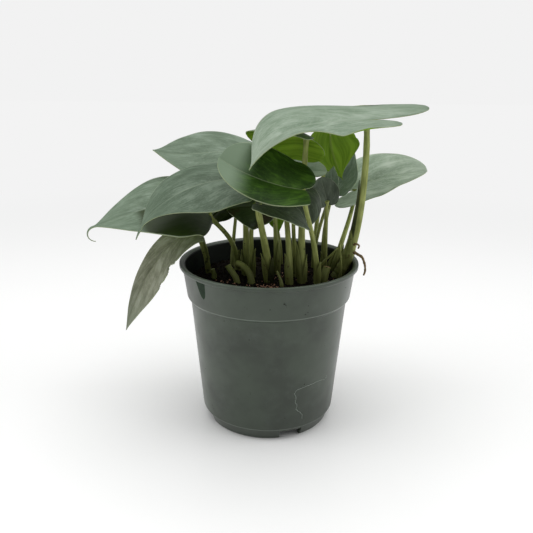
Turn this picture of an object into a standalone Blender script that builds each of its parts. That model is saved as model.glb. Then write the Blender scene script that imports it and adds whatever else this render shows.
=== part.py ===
"""A potted scindapsus: a nursery pot filled with potting mix, and the plant standing in it.

Units are millimetres in the tables below and metres in the scene (+Z up). The tables count from
the pot's axis, at the height of the surface that the pot stands on. Everything then hangs on one
empty, which puts the middle of the whole object's footprint at the origin. The plant's fullest
leaves hang towards -X and its tallest leaf stands on the +X side.
"""
import math
from dataclasses import dataclass

import bmesh
import bpy
from mathutils import Vector

MM = 0.001

# Pot: an injection moulded pot with a collar, a lip and a notched foot.
POT_HEIGHT = 106.0
LIP_RADIUS = 57.0
LIP_WIDTH = 2.6
LIP_DEPTH = 2.4
COLLAR_TOP_RADIUS = 54.9
COLLAR_BOTTOM = 84.5
COLLAR_BOTTOM_RADIUS = 52.4
COLLAR_TUCK = 2.2
BODY_TOP_RADIUS = 50.2
BODY_BOTTOM_RADIUS = 43.4
FOOT_HEIGHT = 7.7
FOOT_STEP = 0.8
FOOT_BOTTOM_RADIUS = 39.6
FOOT_THICKNESS = 2.2
FLOOR_BOTTOM = 6.0
FLOOR_TOP = 8.0
WALL = 1.5
POT_SEGMENTS = 56
NOTCH_COUNT = 4
NOTCH_WIDTH = 14.0
NOTCH_HEIGHT = 5.6
NOTCH_TURN = math.radians(21.0)
DRAIN_RADIUS = 3.5
DRAIN_RING = 30.0

# Potting mix: a plug that fills the pot to SOIL_TOP and has sunk a little along the wall.
GAP = 0.35
SOIL_TOP = 94.0
SOIL_FLAT_RADIUS = 49.2
SOIL_SINK = 1.6
SOIL_SEGMENTS = 40

# Leaves and stems.
BLADE_THICKNESS = 0.9
TIP_HALF_WIDTH = 0.45
WIDEST_AT = 0.32
BASE_SHARE = 0.88
LOBE_CENTRE = 0.42
MIDRIB_STEPS = 80
FINE_STEPS = 400
HOOK_ROWS = 5
STEM_SIDES = 8
STEM_STEP = 8.0
SEAT = 0.3


@dataclass(frozen=True)
class Leaf:
    """One heart-shaped blade, hung on a midrib that is one smooth curve.

    seat is where the petiole meets the blade and tip is where the blade ends. leave is how the
    midrib sets off from the seat and arrive how it comes in at the tip, each as a handle of the
    curve. facing is the compass direction from which left and right are told, in degrees from +X
    towards +Y, for a midrib that stands upright; the others take it from seat and tip. roll tips
    the blade to its right, at the base and at the tip. lobe is how far the two round lobes reach
    back past the petiole. fold lifts both halves like a V, at the base and at the tip, and curl
    bends the left and the right edge down (negative: up). bluntness rounds the tip, lean and skew
    make the right half wider and its lobe longer, and hook is the length and turn of a drawn-out
    tip. Angles are in degrees.
    """

    name: str
    seat: tuple
    tip: tuple
    leave: tuple
    arrive: tuple
    width: float
    roll: tuple = (0.0, 0.0)
    lobe: float = 10.0
    facing: float | None = None
    skew: float = 0.0
    fold: tuple = (10.0, 10.0)
    curl: tuple = (20.0, 20.0)
    bluntness: float = 1.15
    lean: float = 0.0
    hook: tuple = (0.0, 0.0)
    rows: int = 10
    columns: int = 6
    tint: tuple = (0.20, 0.33, 0.20)


@dataclass(frozen=True)
class Stem:
    """One round stem: its foot on the mix, its radii and the leaf or the tip that it ends at.

    bow pushes the lower part sideways, knee is the share of the height where it turns towards its
    upper end, and shoulder the share where it straightens into it. A root lists its own route.
    """

    name: str
    foot: tuple
    base_radius: float
    top_radius: float
    leaf: str = ""
    tip: tuple = (0.0, 0.0, 0.0)
    bow: tuple = (0.0, 0.0)
    knee: float = 0.4
    shoulder: float = 0.75
    route: tuple = ()
    tint: tuple = (0.12, 0.17, 0.05)


LEAVES = (
    Leaf("canopy_leaf", (57, -4, 194), (-11, -52, 171), (-40, 2, -2), (-13, -24, -22), 60,
         (-22, -28), 29, facing=180, skew=0.33, curl=(-10, 36), bluntness=1.6,
         rows=12, columns=8),
    Leaf("back_left_leaf", (-16, 34, 168), (-74, 14, 173), (-20, 0, 6), (-20, -8, 8), 58,
         (-25, -35), 10, fold=(8, 8), curl=(20, 20), bluntness=1.2, lean=-0.2),
    Leaf("front_left_leaf", (-15, -18, 160), (-73, -42, 135), (-26, -4, 4), (-6, -8, -14),
         54, (-20, -26), 7, skew=0.2, fold=(2, 2), curl=(12, 22), bluntness=1.6,
         hook=(6, 5)),
    Leaf("front_cup_leaf", (18, -36, 158), (-28, -41, 176), (-16, -4, 2), (-10, -2, 8), 44,
         (-24, -45), 6, skew=0.6, fold=(17, 17), curl=(29, 9), bluntness=0.4, lean=0.1,
         rows=10, columns=8),
    Leaf("far_left_leaf", (-38, -2, 136), (-106, -20, 131), (-18, -2, 15), (-26, -8, -8),
         63, (-25, -25), 4, curl=(10, 17), bluntness=1.3, lean=-0.15, hook=(13, 165),
         rows=12, columns=8),
    Leaf("hanging_leaf", (-45, 2, 122), (-91, -14, 62), (-18, -4, 4), (-8, -4, -30), 28,
         (-30, -50), 3, fold=(20, 10), curl=(-10, -5), lean=-0.4, tint=(0.17, 0.18, 0.13)),
    Leaf("right_leaf", (58, 38, 145), (104, 30, 159), (16, 0, 8), (14, -4, 3), 41,
         (42, 22), 17, fold=(13, 13), curl=(6, 0), bluntness=0.55, lean=-0.1),
    Leaf("sunlit_leaf", (22, 0, 184), (-15, 9, 184), (-13, 2, 6), (-12, 3, -2), 44,
         (41, 41), 10, skew=0.5, fold=(-19, -19), curl=(45, 5), bluntness=0.7,
         rows=10, columns=8),
    Leaf("rolled_leaf", (39, 29, 181), (48, 26, 153), (0, 2, -8), (4, -2, -8), 37,
         lobe=5, facing=90, fold=(0, 0), curl=(65, 10), bluntness=2.0, rows=10, columns=8),
    Leaf("right_inner_leaf", (44, 34, 149), (56, 34, 171), (4, 0, 8), (4, 0, 7), 24,
         (65, 65), 6),
    Leaf("middle_leaf", (8, 12, 160), (36, 12, 161), (10, 0, 2), (10, 0, 1), 24,
         (30, 38), fold=(16, 16), curl=(29, -21), bluntness=0.5),
    Leaf("middle_tip_leaf", (39, 7, 151), (40, 7, 165), (0, 0, 5), (1, 0, 5), 9,
         (70, 70), 4, rows=7, columns=4),
    Leaf("round_leaf", (35, -6, 146), (31, -6, 160), (-1, 0, 5), (-1, 0, 5), 18,
         (-70, -70), 4, curl=(24, 12), bluntness=0.5, rows=7, columns=4),
    Leaf("grey_leaf", (14, -14, 151), (24, -22, 133), (9, -2, -1), (-2, -2, -8), 20,
         (38, 38), 8, facing=-48, fold=(4, 4), curl=(36, 20)),
    Leaf("front_low_leaf", (-7, -37, 150), (23, -44, 136), (12, -2, -1), (8, -3, -7), 21,
         (25, 25), 2, curl=(27, 0)),
    Leaf("blotched_leaf", (-10, -16, 144), (-25, -24, 143), (-6, -2, 0), (-6, -3, -2), 26,
         (-42, -42), 12, curl=(18, 35), bluntness=0.6, lean=-0.3),
    Leaf("shaded_leaf", (-22, 33, 135), (-44, 28, 121), (-10, -2, 0), (-7, -2, -7), 30,
         (45, 45), fold=(3, 3), bluntness=0.8),
    Leaf("back_tip_leaf", (3, 18, 141), (6, 16, 119), (0, 0, -7), (1, 0, -7), 15,
         lobe=6, facing=90, rows=7, columns=4),
)

STEMS = (
    Stem("hanging_petiole", (-40, 9), 2.2, 1.6, "hanging_leaf", bow=(0, -1)),
    Stem("far_left_petiole", (-21, 15), 2.0, 1.4, "far_left_leaf", knee=0.6),
    Stem("front_left_petiole", (-15, 6), 2.4, 1.6, "front_left_leaf", bow=(0, 8), knee=0.5,
         shoulder=0.95),
    Stem("blotched_petiole", (-11, 0), 2.0, 1.3, "blotched_leaf", bow=(-1, -3), knee=0.6),
    Stem("front_low_petiole", (0, -8), 2.9, 1.8, "front_low_leaf", bow=(-1, -6),
         knee=0.45),
    Stem("back_tip_petiole", (5, 9), 2.2, 1.3, "back_tip_leaf", bow=(0, -1)),
    Stem("middle_petiole", (13, -13), 2.3, 1.4, "middle_leaf"),
    Stem("back_left_petiole", (8, 30), 1.6, 1.1, "back_left_leaf", knee=0.5),
    Stem("sunlit_petiole", (21, -9), 2.8, 1.5, "sunlit_leaf", bow=(-2, 1)),
    Stem("front_cup_petiole", (30, -12), 2.0, 1.3, "front_cup_leaf", bow=(0, -4)),
    Stem("round_petiole", (37, 16), 1.8, 1.2, "round_leaf", bow=(0, -2)),
    Stem("canopy_petiole", (44, 3), 3.6, 1.7, "canopy_leaf", bow=(13, -2), knee=0.14),
    Stem("right_petiole", (43, 18), 2.0, 1.3, "right_leaf", bow=(7, 2), knee=0.5),
    Stem("right_inner_petiole", (38, 30), 1.5, 1.1, "right_inner_leaf", bow=(-3, 3)),
    Stem("middle_tip_petiole", (30, 22), 1.4, 1.0, "middle_tip_leaf"),
    Stem("rolled_petiole", (31, 27), 1.8, 1.2, tip=(39, 32, 183), bow=(0, 5)),
    Stem("grey_petiole", (17, 2), 1.6, 1.1, "grey_leaf", bow=(-1, 1)),
    Stem("shaded_petiole", (-25, 24), 1.6, 1.1, "shaded_leaf", bow=(0, 3)),
    Stem("cut_stub_right", (35, -7), 2.6, 2.5, tip=(37, -5, 103)),
    Stem("cut_stub_left", (-20, -12), 2.2, 2.0, tip=(-26, -8, 104)),
    Stem("cut_stub_back", (32, 36), 1.8, 1.6, tip=(32, 36, 104)),
    Stem("elbow_stem", (-11, -12), 2.6, 2.0, tip=(-20, -6, 105), knee=0.8,
         shoulder=0.98),
    Stem("young_bud", (-35, -3), 2.2, 1.4, tip=(-36, -3, 100)),
    Stem("young_spear", (30, -1), 1.8, 0.4, tip=(43, -4, 115)),
    Stem("side_shoot", (8, -18), 1.6, 0.7, tip=(5, -15, 103)),
    Stem("node_sheath", (45, -5), 1.6, 0.3, tip=(44, -7, 120), bow=(1, -2)),
    Stem("dark_sheath", (38, 9), 1.5, 0.4, tip=(43, 7, 111)),
)

ROOTS = (
    Stem("aerial_root", (0, 0), 1.0, 0.6, tint=(0.27, 0.20, 0.10),
         route=((53.6, -2.5, 112), (56, -3.5, 111), (59, -5, 109), (60.5, -6, 105),
                (61, -6, 101), (60, -7, 98))),
    Stem("curled_root", (0, 0), 0.8, 0.5, tint=(0.27, 0.20, 0.10),
         route=((53.5, -3.5, 117), (54.5, -4.5, 118), (56.5, -5, 117), (56, -5, 115))),
)


def clear_scene():
    """Remove every object that the file opened with."""
    for old in list(bpy.data.objects):
        bpy.data.objects.remove(old, do_unlink=True)


def finish_of(name, colour, roughness):
    """Make a plain Principled material."""
    material = bpy.data.materials.new(name)
    material.use_nodes = True
    shader = material.node_tree.nodes["Principled BSDF"]
    shader.inputs["Base Color"].default_value = (*colour, 1.0)
    shader.inputs["Roughness"].default_value = roughness
    shader.inputs["Metallic"].default_value = 0.0
    return material


def object_from(name, vertices, faces, material):
    """Build a mesh object from points in millimetres."""
    mesh = bpy.data.meshes.new(name)
    mesh.from_pydata([Vector(v) * MM for v in vertices], [], faces)
    mesh.update()
    mesh.shade_smooth()
    mesh.set_sharp_from_angle(angle=math.radians(40.0))
    mesh.materials.append(material)
    thing = bpy.data.objects.new(name, mesh)
    bpy.context.collection.objects.link(thing)
    return thing


def revolve(name, profile, segments, material, drop=None):
    """Turn a profile of (radius, height) about Z; drop(index, angle) lowers single points."""
    vertices = []
    rings = []
    for index, (radius, height) in enumerate(profile):
        if radius == 0:
            rings.append([len(vertices)])
            vertices.append((0.0, 0.0, height))
            continue
        rings.append(list(range(len(vertices), len(vertices) + segments)))
        for step in range(segments):
            angle = 2.0 * math.pi * step / segments
            lowered = height - (drop(index, angle) if drop else 0.0)
            vertices.append((radius * math.cos(angle), radius * math.sin(angle), lowered))
    faces = []
    for lower, upper in zip(rings, rings[1:]):
        for step in range(segments):
            after = (step + 1) % segments
            if len(lower) == 1:
                faces.append((lower[0], upper[after], upper[step]))
            elif len(upper) == 1:
                faces.append((lower[step], lower[after], upper[0]))
            else:
                faces.append((lower[step], lower[after], upper[after], upper[step]))
    return object_from(name, vertices, faces, material)


def inner_radius(height):
    """Radius of the pot's inner wall at a height above its floor."""
    if height >= COLLAR_BOTTOM:
        share = (height - COLLAR_BOTTOM) / (POT_HEIGHT - COLLAR_BOTTOM)
        return COLLAR_BOTTOM_RADIUS - WALL + share * (COLLAR_TOP_RADIUS - COLLAR_BOTTOM_RADIUS)
    share = (height - FLOOR_TOP) / (COLLAR_BOTTOM - COLLAR_TUCK - FLOOR_TOP)
    return BODY_BOTTOM_RADIUS - WALL + min(share, 1.0) * (BODY_TOP_RADIUS - BODY_BOTTOM_RADIUS)


def pot_profile():
    """The pot's section, from the axis under the floor, up the outside and down the inside."""
    tuck = COLLAR_BOTTOM - COLLAR_TUCK
    lip_bottom = POT_HEIGHT - LIP_DEPTH
    return (
        (0, FLOOR_BOTTOM),
        (FOOT_BOTTOM_RADIUS - FOOT_THICKNESS + 1.6, FLOOR_BOTTOM),
        (FOOT_BOTTOM_RADIUS - FOOT_THICKNESS, 0.6),
        (FOOT_BOTTOM_RADIUS - FOOT_THICKNESS + 0.5, 0.0),
        (FOOT_BOTTOM_RADIUS - 0.5, 0.0),
        (FOOT_BOTTOM_RADIUS, 0.6),
        (BODY_BOTTOM_RADIUS - FOOT_STEP, FOOT_HEIGHT - 0.6),
        (BODY_BOTTOM_RADIUS, FOOT_HEIGHT),
        (BODY_TOP_RADIUS, tuck),
        (COLLAR_BOTTOM_RADIUS - 0.5, COLLAR_BOTTOM - 0.7),
        (COLLAR_BOTTOM_RADIUS, COLLAR_BOTTOM + 0.8),
        (COLLAR_TOP_RADIUS, lip_bottom - 0.9),
        (LIP_RADIUS - 0.5, lip_bottom),
        (LIP_RADIUS, lip_bottom + 0.6),
        (LIP_RADIUS, POT_HEIGHT - 0.6),
        (LIP_RADIUS - 0.6, POT_HEIGHT),
        (LIP_RADIUS - LIP_WIDTH, POT_HEIGHT),
        (inner_radius(POT_HEIGHT) - 0.2, POT_HEIGHT - 1.4),
        (inner_radius(COLLAR_BOTTOM), COLLAR_BOTTOM),
        (inner_radius(tuck), tuck),
        (inner_radius(FLOOR_TOP + 1.5), FLOOR_TOP + 1.5),
        (inner_radius(FLOOR_TOP) - 1.5, FLOOR_TOP),
        (0, FLOOR_TOP),
    )


def add_cutter(target, cutter):
    """Subtract a hidden cutter from an object with an exact Boolean."""
    cutter.hide_render = True
    cutter.display_type = "WIRE"
    cut = target.modifiers.new(cutter.name, "BOOLEAN")
    cut.operation = "DIFFERENCE"
    cut.solver = "EXACT"
    cut.object = cutter


def cutter_from(name, shape):
    """Make a cutter object from a bmesh."""
    mesh = bpy.data.meshes.new(name)
    shape.to_mesh(mesh)
    shape.free()
    cutter = bpy.data.objects.new(name, mesh)
    bpy.context.collection.objects.link(cutter)
    return cutter


def make_pot():
    """The pot with drainage notches in its foot and a drain hole beside each."""
    material = finish_of("green_pot", (0.045, 0.075, 0.052), 0.38)
    pot = revolve("pot", pot_profile(), POT_SEGMENTS, material)
    for number in range(NOTCH_COUNT):
        angle = -math.pi / 2 + NOTCH_TURN + number * 2.0 * math.pi / NOTCH_COUNT
        outward = Vector((math.cos(angle), math.sin(angle), 0.0))
        notch = bmesh.new()
        bmesh.ops.create_cube(notch, size=1.0)
        size = Vector((12.0, NOTCH_WIDTH, 2.0 * NOTCH_HEIGHT)) * MM
        bmesh.ops.scale(notch, vec=size, verts=notch.verts)
        cutter = cutter_from(f"notch_cutter_{number}", notch)
        cutter.rotation_euler.z = angle
        cutter.location = outward * FOOT_BOTTOM_RADIUS * MM
        add_cutter(pot, cutter)
        drain = bmesh.new()
        bmesh.ops.create_cone(drain, cap_ends=True, segments=12, radius1=DRAIN_RADIUS * MM,
                              radius2=DRAIN_RADIUS * MM, depth=8.0 * MM)
        cutter = cutter_from(f"drain_cutter_{number}", drain)
        cutter.location = outward * DRAIN_RING * MM
        cutter.location.z = 0.5 * (FLOOR_BOTTOM + FLOOR_TOP) * MM
        add_cutter(pot, cutter)
    return pot


def make_soil():
    """The potting mix: flat where stems stand in it, sunk along the wall."""
    tuck = COLLAR_BOTTOM - COLLAR_TUCK
    profile = (
        (0, FLOOR_TOP + GAP),
        (inner_radius(FLOOR_TOP) - 1.9, FLOOR_TOP + GAP),
        (inner_radius(FLOOR_TOP + 1.5) - GAP, FLOOR_TOP + 2.2),
        (inner_radius(tuck) - GAP, tuck),
        (inner_radius(COLLAR_BOTTOM) - 2 * GAP, COLLAR_BOTTOM + 0.6),
        (inner_radius(SOIL_TOP - SOIL_SINK) - GAP, SOIL_TOP - SOIL_SINK),
        (SOIL_FLAT_RADIUS, SOIL_TOP),
        (0, SOIL_TOP),
    )

    def drop(index, angle):
        return 0.7 + 0.7 * math.sin(5.0 * angle + 0.6) if index == 5 else 0.0

    material = finish_of("potting_mix", (0.020, 0.014, 0.010), 0.95)
    return revolve("potting_mix", profile, SOIL_SEGMENTS, material, drop)


def bezier(points, share):
    """A point on a cubic curve, in millimetres."""
    a, b, c, d = (Vector(p) for p in points)
    rest = 1.0 - share
    return (a * rest ** 3 + b * (3 * rest * rest * share) + c * (3 * rest * share * share)
            + d * share ** 3)


class Midrib:
    """A blade's midrib as places at equal distances, the drawn-out tip included."""

    def __init__(self, leaf):
        """Walk along the curve from the seat to the tip."""
        self.leaf = leaf
        facing = leaf.facing
        if facing is None:
            facing = math.degrees(math.atan2(leaf.tip[1] - leaf.seat[1],
                                             leaf.tip[0] - leaf.seat[0]))
        self.right = Vector((math.sin(math.radians(facing)), -math.cos(math.radians(facing)),
                             0.0))
        seat, tip = Vector(leaf.seat), Vector(leaf.tip)
        handles = (seat, seat + Vector(leaf.leave), tip - Vector(leaf.arrive), tip)
        line = [bezier(handles, number / FINE_STEPS) for number in range(FINE_STEPS + 1)]
        lengths = [0.0]
        for a, b in zip(line, line[1:]):
            lengths.append(lengths[-1] + (b - a).length)
        self.step = lengths[-1] / MIDRIB_STEPS
        self.length = lengths[-1]
        self.route = [line[0]]
        index = 0
        for number in range(1, MIDRIB_STEPS):
            while lengths[index + 1] < number * self.step:
                index += 1
            part = (number * self.step - lengths[index]) / (lengths[index + 1] - lengths[index])
            self.route.append(line[index].lerp(line[index + 1], part))
        self.route.append(line[-1])
        self.draw_out()

    def draw_out(self):
        """Add the hook, which turns ever further down from the end of the blade."""
        length, turn = self.leaf.hook
        count = round(length / self.step)
        ahead = (self.route[-1] - self.route[-2]).normalized()
        aside = (self.right - ahead * self.right.dot(ahead)).normalized()
        down = ahead.cross(aside)
        for number in range(count):
            angle = math.radians(turn) * (number + 0.5) / count
            self.route.append(self.route[-1]
                              + (ahead * math.cos(angle) + down * math.sin(angle)) * self.step)

    def frame(self, distance):
        """Directions along the midrib, to the right and out of the upper side at a distance."""
        last = len(self.route) - 2
        exact = min(max(distance / self.step - 0.5, 0.0), last)
        index = min(int(exact), last - 1)
        before = self.route[index + 1] - self.route[index]
        after = self.route[index + 2] - self.route[index + 1]
        along = before.lerp(after, exact - index).normalized()
        level = (self.right - along * self.right.dot(along)).normalized()
        share = min(max(distance / self.length, 0.0), 1.0)
        roll = math.radians(self.leaf.roll[0] * (1.0 - share) + self.leaf.roll[1] * share)
        upper = level.cross(along) * math.cos(roll) + level * math.sin(roll)
        return along, along.cross(upper), upper

    def place(self, distance):
        """The place at a distance; the midrib runs on straight before its start."""
        if distance <= 0.0:
            return self.route[0] + self.frame(0.0)[0] * distance
        index = min(int(distance / self.step), len(self.route) - 2)
        return self.route[index].lerp(self.route[index + 1],
                                      min(1.0, distance / self.step - index))


def half_width(share, leaf):
    """Half of the blade's width at a share of its length."""
    if share >= 1.0:
        return TIP_HALF_WIDTH
    if share < WIDEST_AT:
        full = BASE_SHARE + (1.0 - BASE_SHARE) * math.sin(0.5 * math.pi * share / WIDEST_AT)
    else:
        full = (1.0 - ((share - WIDEST_AT) / (1.0 - WIDEST_AT)) ** 1.75) ** leaf.bluntness
    return max(0.5 * leaf.width * full, 2.0 * TIP_HALF_WIDTH)


def lobe_share(reach):
    """How far a lobe reaches back at a share of the half width: a round nose."""
    size = LOBE_CENTRE if reach < LOBE_CENTRE else 1.0 - LOBE_CENTRE
    return math.sqrt(max(0.0, 1.0 - ((reach - LOBE_CENTRE) / size) ** 2))


def blade_point(leaf, midrib, share, side):
    """A point of the blade's middle surface; side runs from -1 to 1 across it."""
    reach = abs(side)
    sign = math.copysign(1.0, side)
    back = (leaf.lobe * (1.0 + leaf.skew * sign) * max(0.0, 1.0 - share) ** 3
            * lobe_share(reach))
    distance = share * midrib.length - back
    _, across, upper = midrib.frame(distance)
    out = half_width(share, leaf) * reach * (1.0 + leaf.lean * sign)
    opened = min(max(share, 0.0), 1.0)
    lift = math.radians(leaf.fold[0] * (1.0 - opened) + leaf.fold[1] * opened)
    bend = math.radians(leaf.curl[1 if side > 0 else 0]) / (0.5 * leaf.width)
    if abs(bend) < 1e-6:
        bend = 1e-6
    sideways = (math.sin(lift) - math.sin(lift - bend * out)) / bend
    upward = (math.cos(lift - bend * out) - math.cos(lift)) / bend
    return midrib.place(distance) + across * (sign * sideways) + upper * upward


def grid_normals(grid):
    """Upward normals of a grid of points."""
    rows, columns = len(grid), len(grid[0])
    normals = []
    for i in range(rows):
        line = []
        for j in range(columns):
            length = grid[min(i + 1, rows - 1)][j] - grid[max(i - 1, 0)][j]
            across = grid[i][min(j + 1, columns - 1)] - grid[i][max(j - 1, 0)]
            line.append(across.cross(length).normalized())
        normals.append(line)
    return normals


def make_leaf(leaf):
    """A blade of even thickness around its middle surface."""
    midrib = Midrib(leaf)
    shares = [(row / leaf.rows) ** 0.9 for row in range(leaf.rows + 1)]
    shares += [1.0 + leaf.hook[0] / midrib.length * row / HOOK_ROWS
               for row in range(1, HOOK_ROWS + 1) if leaf.hook[0]]
    grid = [[blade_point(leaf, midrib, share, 2.0 * j / leaf.columns - 1.0)
             for j in range(leaf.columns + 1)] for share in shares]
    normals = grid_normals(grid)
    rows, columns = len(grid), len(grid[0])
    half = 0.5 * BLADE_THICKNESS
    vertices = [grid[i][j] + normals[i][j] * half for i in range(rows) for j in range(columns)]
    vertices += [grid[i][j] - normals[i][j] * half for i in range(rows) for j in range(columns)]
    under = rows * columns
    faces = []
    for i in range(rows - 1):
        for j in range(columns - 1):
            a, b = i * columns + j, i * columns + j + 1
            c, d = b + columns, a + columns
            faces.append((a, b, c, d))
            faces.append((under + d, under + c, under + b, under + a))
    border = [(0, j) for j in range(columns)]
    border += [(i, columns - 1) for i in range(1, rows)]
    border += [(rows - 1, j) for j in range(columns - 2, -1, -1)]
    border += [(i, 0) for i in range(rows - 2, 0, -1)]
    ids = [i * columns + j for i, j in border]
    for a, b in zip(ids, ids[1:] + ids[:1]):
        faces.append((b, a, under + a, under + b))
    return object_from(leaf.name, vertices, faces, finish_of(leaf.name, leaf.tint, 0.5))


def smooth_route(points, steps):
    """A smooth curve through a route's points (Catmull-Rom)."""
    ends = [points[0] * 2 - points[1], *points, points[-1] * 2 - points[-2]]
    route = []
    for a, b, c, d in zip(ends, ends[1:], ends[2:], ends[3:]):
        for step in range(steps):
            t = step / steps
            route.append(0.5 * (2 * b + (c - a) * t + (2 * a - 5 * b + 4 * c - d) * t * t
                                + (3 * b - a - 3 * c + d) * t ** 3))
    route.append(points[-1])
    return route


def make_tube(name, route, base_radius, top_radius, material):
    """A round tube with flat ends; a stem is thickest in its lowest third."""
    vertices = []
    side = Vector((1.0, 0.0, 0.0))
    lengths = [0.0]
    for a, b in zip(route, route[1:]):
        lengths.append(lengths[-1] + (b - a).length)
    for index, point in enumerate(route):
        ahead = route[min(index + 1, len(route) - 1)]
        behind = route[max(index - 1, 0)]
        direction = (ahead - behind).normalized()
        side = (side - direction * side.dot(direction)).normalized()
        other = direction.cross(side)
        share = lengths[index] / lengths[-1]
        radius = top_radius + (base_radius - top_radius) * (1.0 - share) ** 1.4
        for step in range(STEM_SIDES):
            angle = 2.0 * math.pi * step / STEM_SIDES
            vertices.append(point + (side * math.cos(angle) + other * math.sin(angle)) * radius)
    faces = [tuple(range(STEM_SIDES - 1, -1, -1))]
    for ring in range(len(route) - 1):
        for step in range(STEM_SIDES):
            a = ring * STEM_SIDES + step
            b = ring * STEM_SIDES + (step + 1) % STEM_SIDES
            faces.append((a, b, b + STEM_SIDES, a + STEM_SIDES))
    last = (len(route) - 1) * STEM_SIDES
    faces.append(tuple(range(last, last + STEM_SIDES)))
    return object_from(name, vertices, faces, material)


def seat_under(leaf, radius, arrival):
    """The end of a petiole: just under the blade at its notch."""
    midrib = Midrib(leaf)
    upper = midrib.frame(0.0)[2]
    slant = math.sqrt(max(0.0, 1.0 - arrival.dot(upper) ** 2))
    return midrib.route[0] - upper * (0.5 * BLADE_THICKNESS + SEAT + radius * slant)


def make_stem(stem, leaves):
    """A stem that rises from the soil and, where it carries a leaf, ends under its blade."""
    x, y = stem.foot
    foot = Vector((x, y, SOIL_TOP + SEAT))
    end = Vector(leaves[stem.leaf].seat if stem.leaf else stem.tip)
    rise = end.z - SOIL_TOP
    collar = foot + Vector((0.0, 0.0, min(2.5, 0.3 * rise)))
    knee = Vector((x + stem.bow[0], y + stem.bow[1], SOIL_TOP + stem.knee * rise))
    shoulder = end.lerp(foot, 0.25) + Vector((*stem.bow, 0.0)) * 0.5
    shoulder.z = SOIL_TOP + stem.shoulder * rise
    if stem.leaf:
        end = seat_under(leaves[stem.leaf], stem.top_radius, (end - shoulder).normalized())
    steps = max(3, round(rise / STEM_STEP))
    route = [foot] + [bezier((collar, knee, shoulder, end), step / steps)
                      for step in range(steps + 1)]
    material = finish_of(stem.name, stem.tint, 0.55)
    return make_tube(stem.name, route, stem.base_radius, stem.top_radius, material)


def make_root(root):
    """A bare aerial root that leaves the stem above the soil."""
    material = finish_of(root.name, root.tint, 0.7)
    route = smooth_route([Vector(p) for p in root.route], 2)
    return make_tube(root.name, route, root.base_radius, root.top_radius, material)


def centre_footprint():
    """Hang every object on one empty, so that the footprint's middle is at the origin."""
    things = [thing for thing in bpy.data.objects if thing.type == "MESH"]
    corners = [thing.matrix_world @ Vector(corner) for thing in things
               if not thing.hide_render for corner in thing.bound_box]
    frame = bpy.data.objects.new("frame", None)
    bpy.context.collection.objects.link(frame)
    for thing in things:
        thing.parent = frame
    for axis in (0, 1):
        low = min(corner[axis] for corner in corners)
        high = max(corner[axis] for corner in corners)
        frame.location[axis] = -0.5 * (low + high)


def main():
    """Build the pot, the potting mix and the plant."""
    clear_scene()
    make_pot()
    make_soil()
    leaves = {leaf.name: leaf for leaf in LEAVES}
    for leaf in LEAVES:
        make_leaf(leaf)
    for stem in STEMS:
        make_stem(stem, leaves)
    for root in ROOTS:
        make_root(root)
    bpy.context.view_layer.update()
    centre_footprint()


main()
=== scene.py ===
"""Potted scindapsus: the detailed looks of the plant, its potting mix and its nursery pot.

Sizes are in millimetres and count from the pot's axis at the height of its foot, except where a
name ends in _m. Each class builds one sub-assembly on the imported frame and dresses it.
"""

from __future__ import annotations

import logging
import math
import random
from collections.abc import Callable, Sequence
from dataclasses import dataclass
from enum import Enum

import bmesh
import bpy
from mathutils import Matrix, Vector, noise

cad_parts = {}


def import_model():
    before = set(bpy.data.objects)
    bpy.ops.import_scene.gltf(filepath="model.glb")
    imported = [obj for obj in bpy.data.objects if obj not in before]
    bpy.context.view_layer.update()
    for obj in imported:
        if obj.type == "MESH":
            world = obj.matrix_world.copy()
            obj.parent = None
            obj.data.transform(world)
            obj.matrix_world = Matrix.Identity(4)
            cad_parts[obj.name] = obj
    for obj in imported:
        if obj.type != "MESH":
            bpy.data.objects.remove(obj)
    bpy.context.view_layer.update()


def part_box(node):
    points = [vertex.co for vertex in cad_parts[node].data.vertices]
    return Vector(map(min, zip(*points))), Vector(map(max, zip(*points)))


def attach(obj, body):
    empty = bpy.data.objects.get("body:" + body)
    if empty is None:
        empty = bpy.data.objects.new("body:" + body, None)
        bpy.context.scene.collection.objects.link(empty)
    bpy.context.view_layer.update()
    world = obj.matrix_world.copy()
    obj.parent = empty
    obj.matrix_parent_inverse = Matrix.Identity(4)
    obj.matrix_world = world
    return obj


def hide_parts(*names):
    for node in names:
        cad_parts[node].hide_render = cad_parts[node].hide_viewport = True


LOG = logging.getLogger("potted_scindapsus")
MM = 0.001
Point = tuple[float, float, float]
Pair = tuple[float, float]
Face = tuple[int, ...]
Socket = bpy.types.NodeSocket


# ---------------------------------------------------------------------------------------------
# Small helpers
# ---------------------------------------------------------------------------------------------


def linear(code: str) -> tuple[float, float, float, float]:
    """Turn an sRGB hex colour into the linear colour that shaders use.

    Args:
        code: a colour such as "#8fa58f".

    Returns:
        Red, green, blue and an alpha of 1.
    """
    shares = [int(code[at:at + 2], 16) / 255.0 for at in (1, 3, 5)]
    turned = [s / 12.92 if s <= 0.04045 else ((s + 0.055) / 1.055) ** 2.4 for s in shares]
    return (turned[0], turned[1], turned[2], 1.0)


def fill(node: bpy.types.Node, inputs: dict[int | str, object]) -> None:
    """Fill a node's inputs.

    Args:
        node: the node.
        inputs: by the input's name or number, the output socket that feeds it, an sRGB hex
            colour or a plain value.
    """
    for key, value in inputs.items():
        if isinstance(value, Socket):
            node.id_data.links.new(value, node.inputs[key])
        else:
            node.inputs[key].default_value = linear(value) if isinstance(value, str) else value


def add_node(tree: bpy.types.NodeTree, kind: str, inputs: dict[int | str, object] | None = None,
             out: int | str = 0, **settings: object) -> Socket:
    """Add a node with its settings and links.

    Args:
        tree: the node tree.
        kind: the node's type without "ShaderNode".
        inputs: what fills its inputs, as in fill.
        out: the name or number of the output that is wanted.
        settings: the node's properties.

    Returns:
        The output socket.
    """
    node = tree.nodes.new("ShaderNode" + kind)
    for name, value in settings.items():
        setattr(node, name, value)
    fill(node, inputs or {})
    return node.outputs[out]


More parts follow.
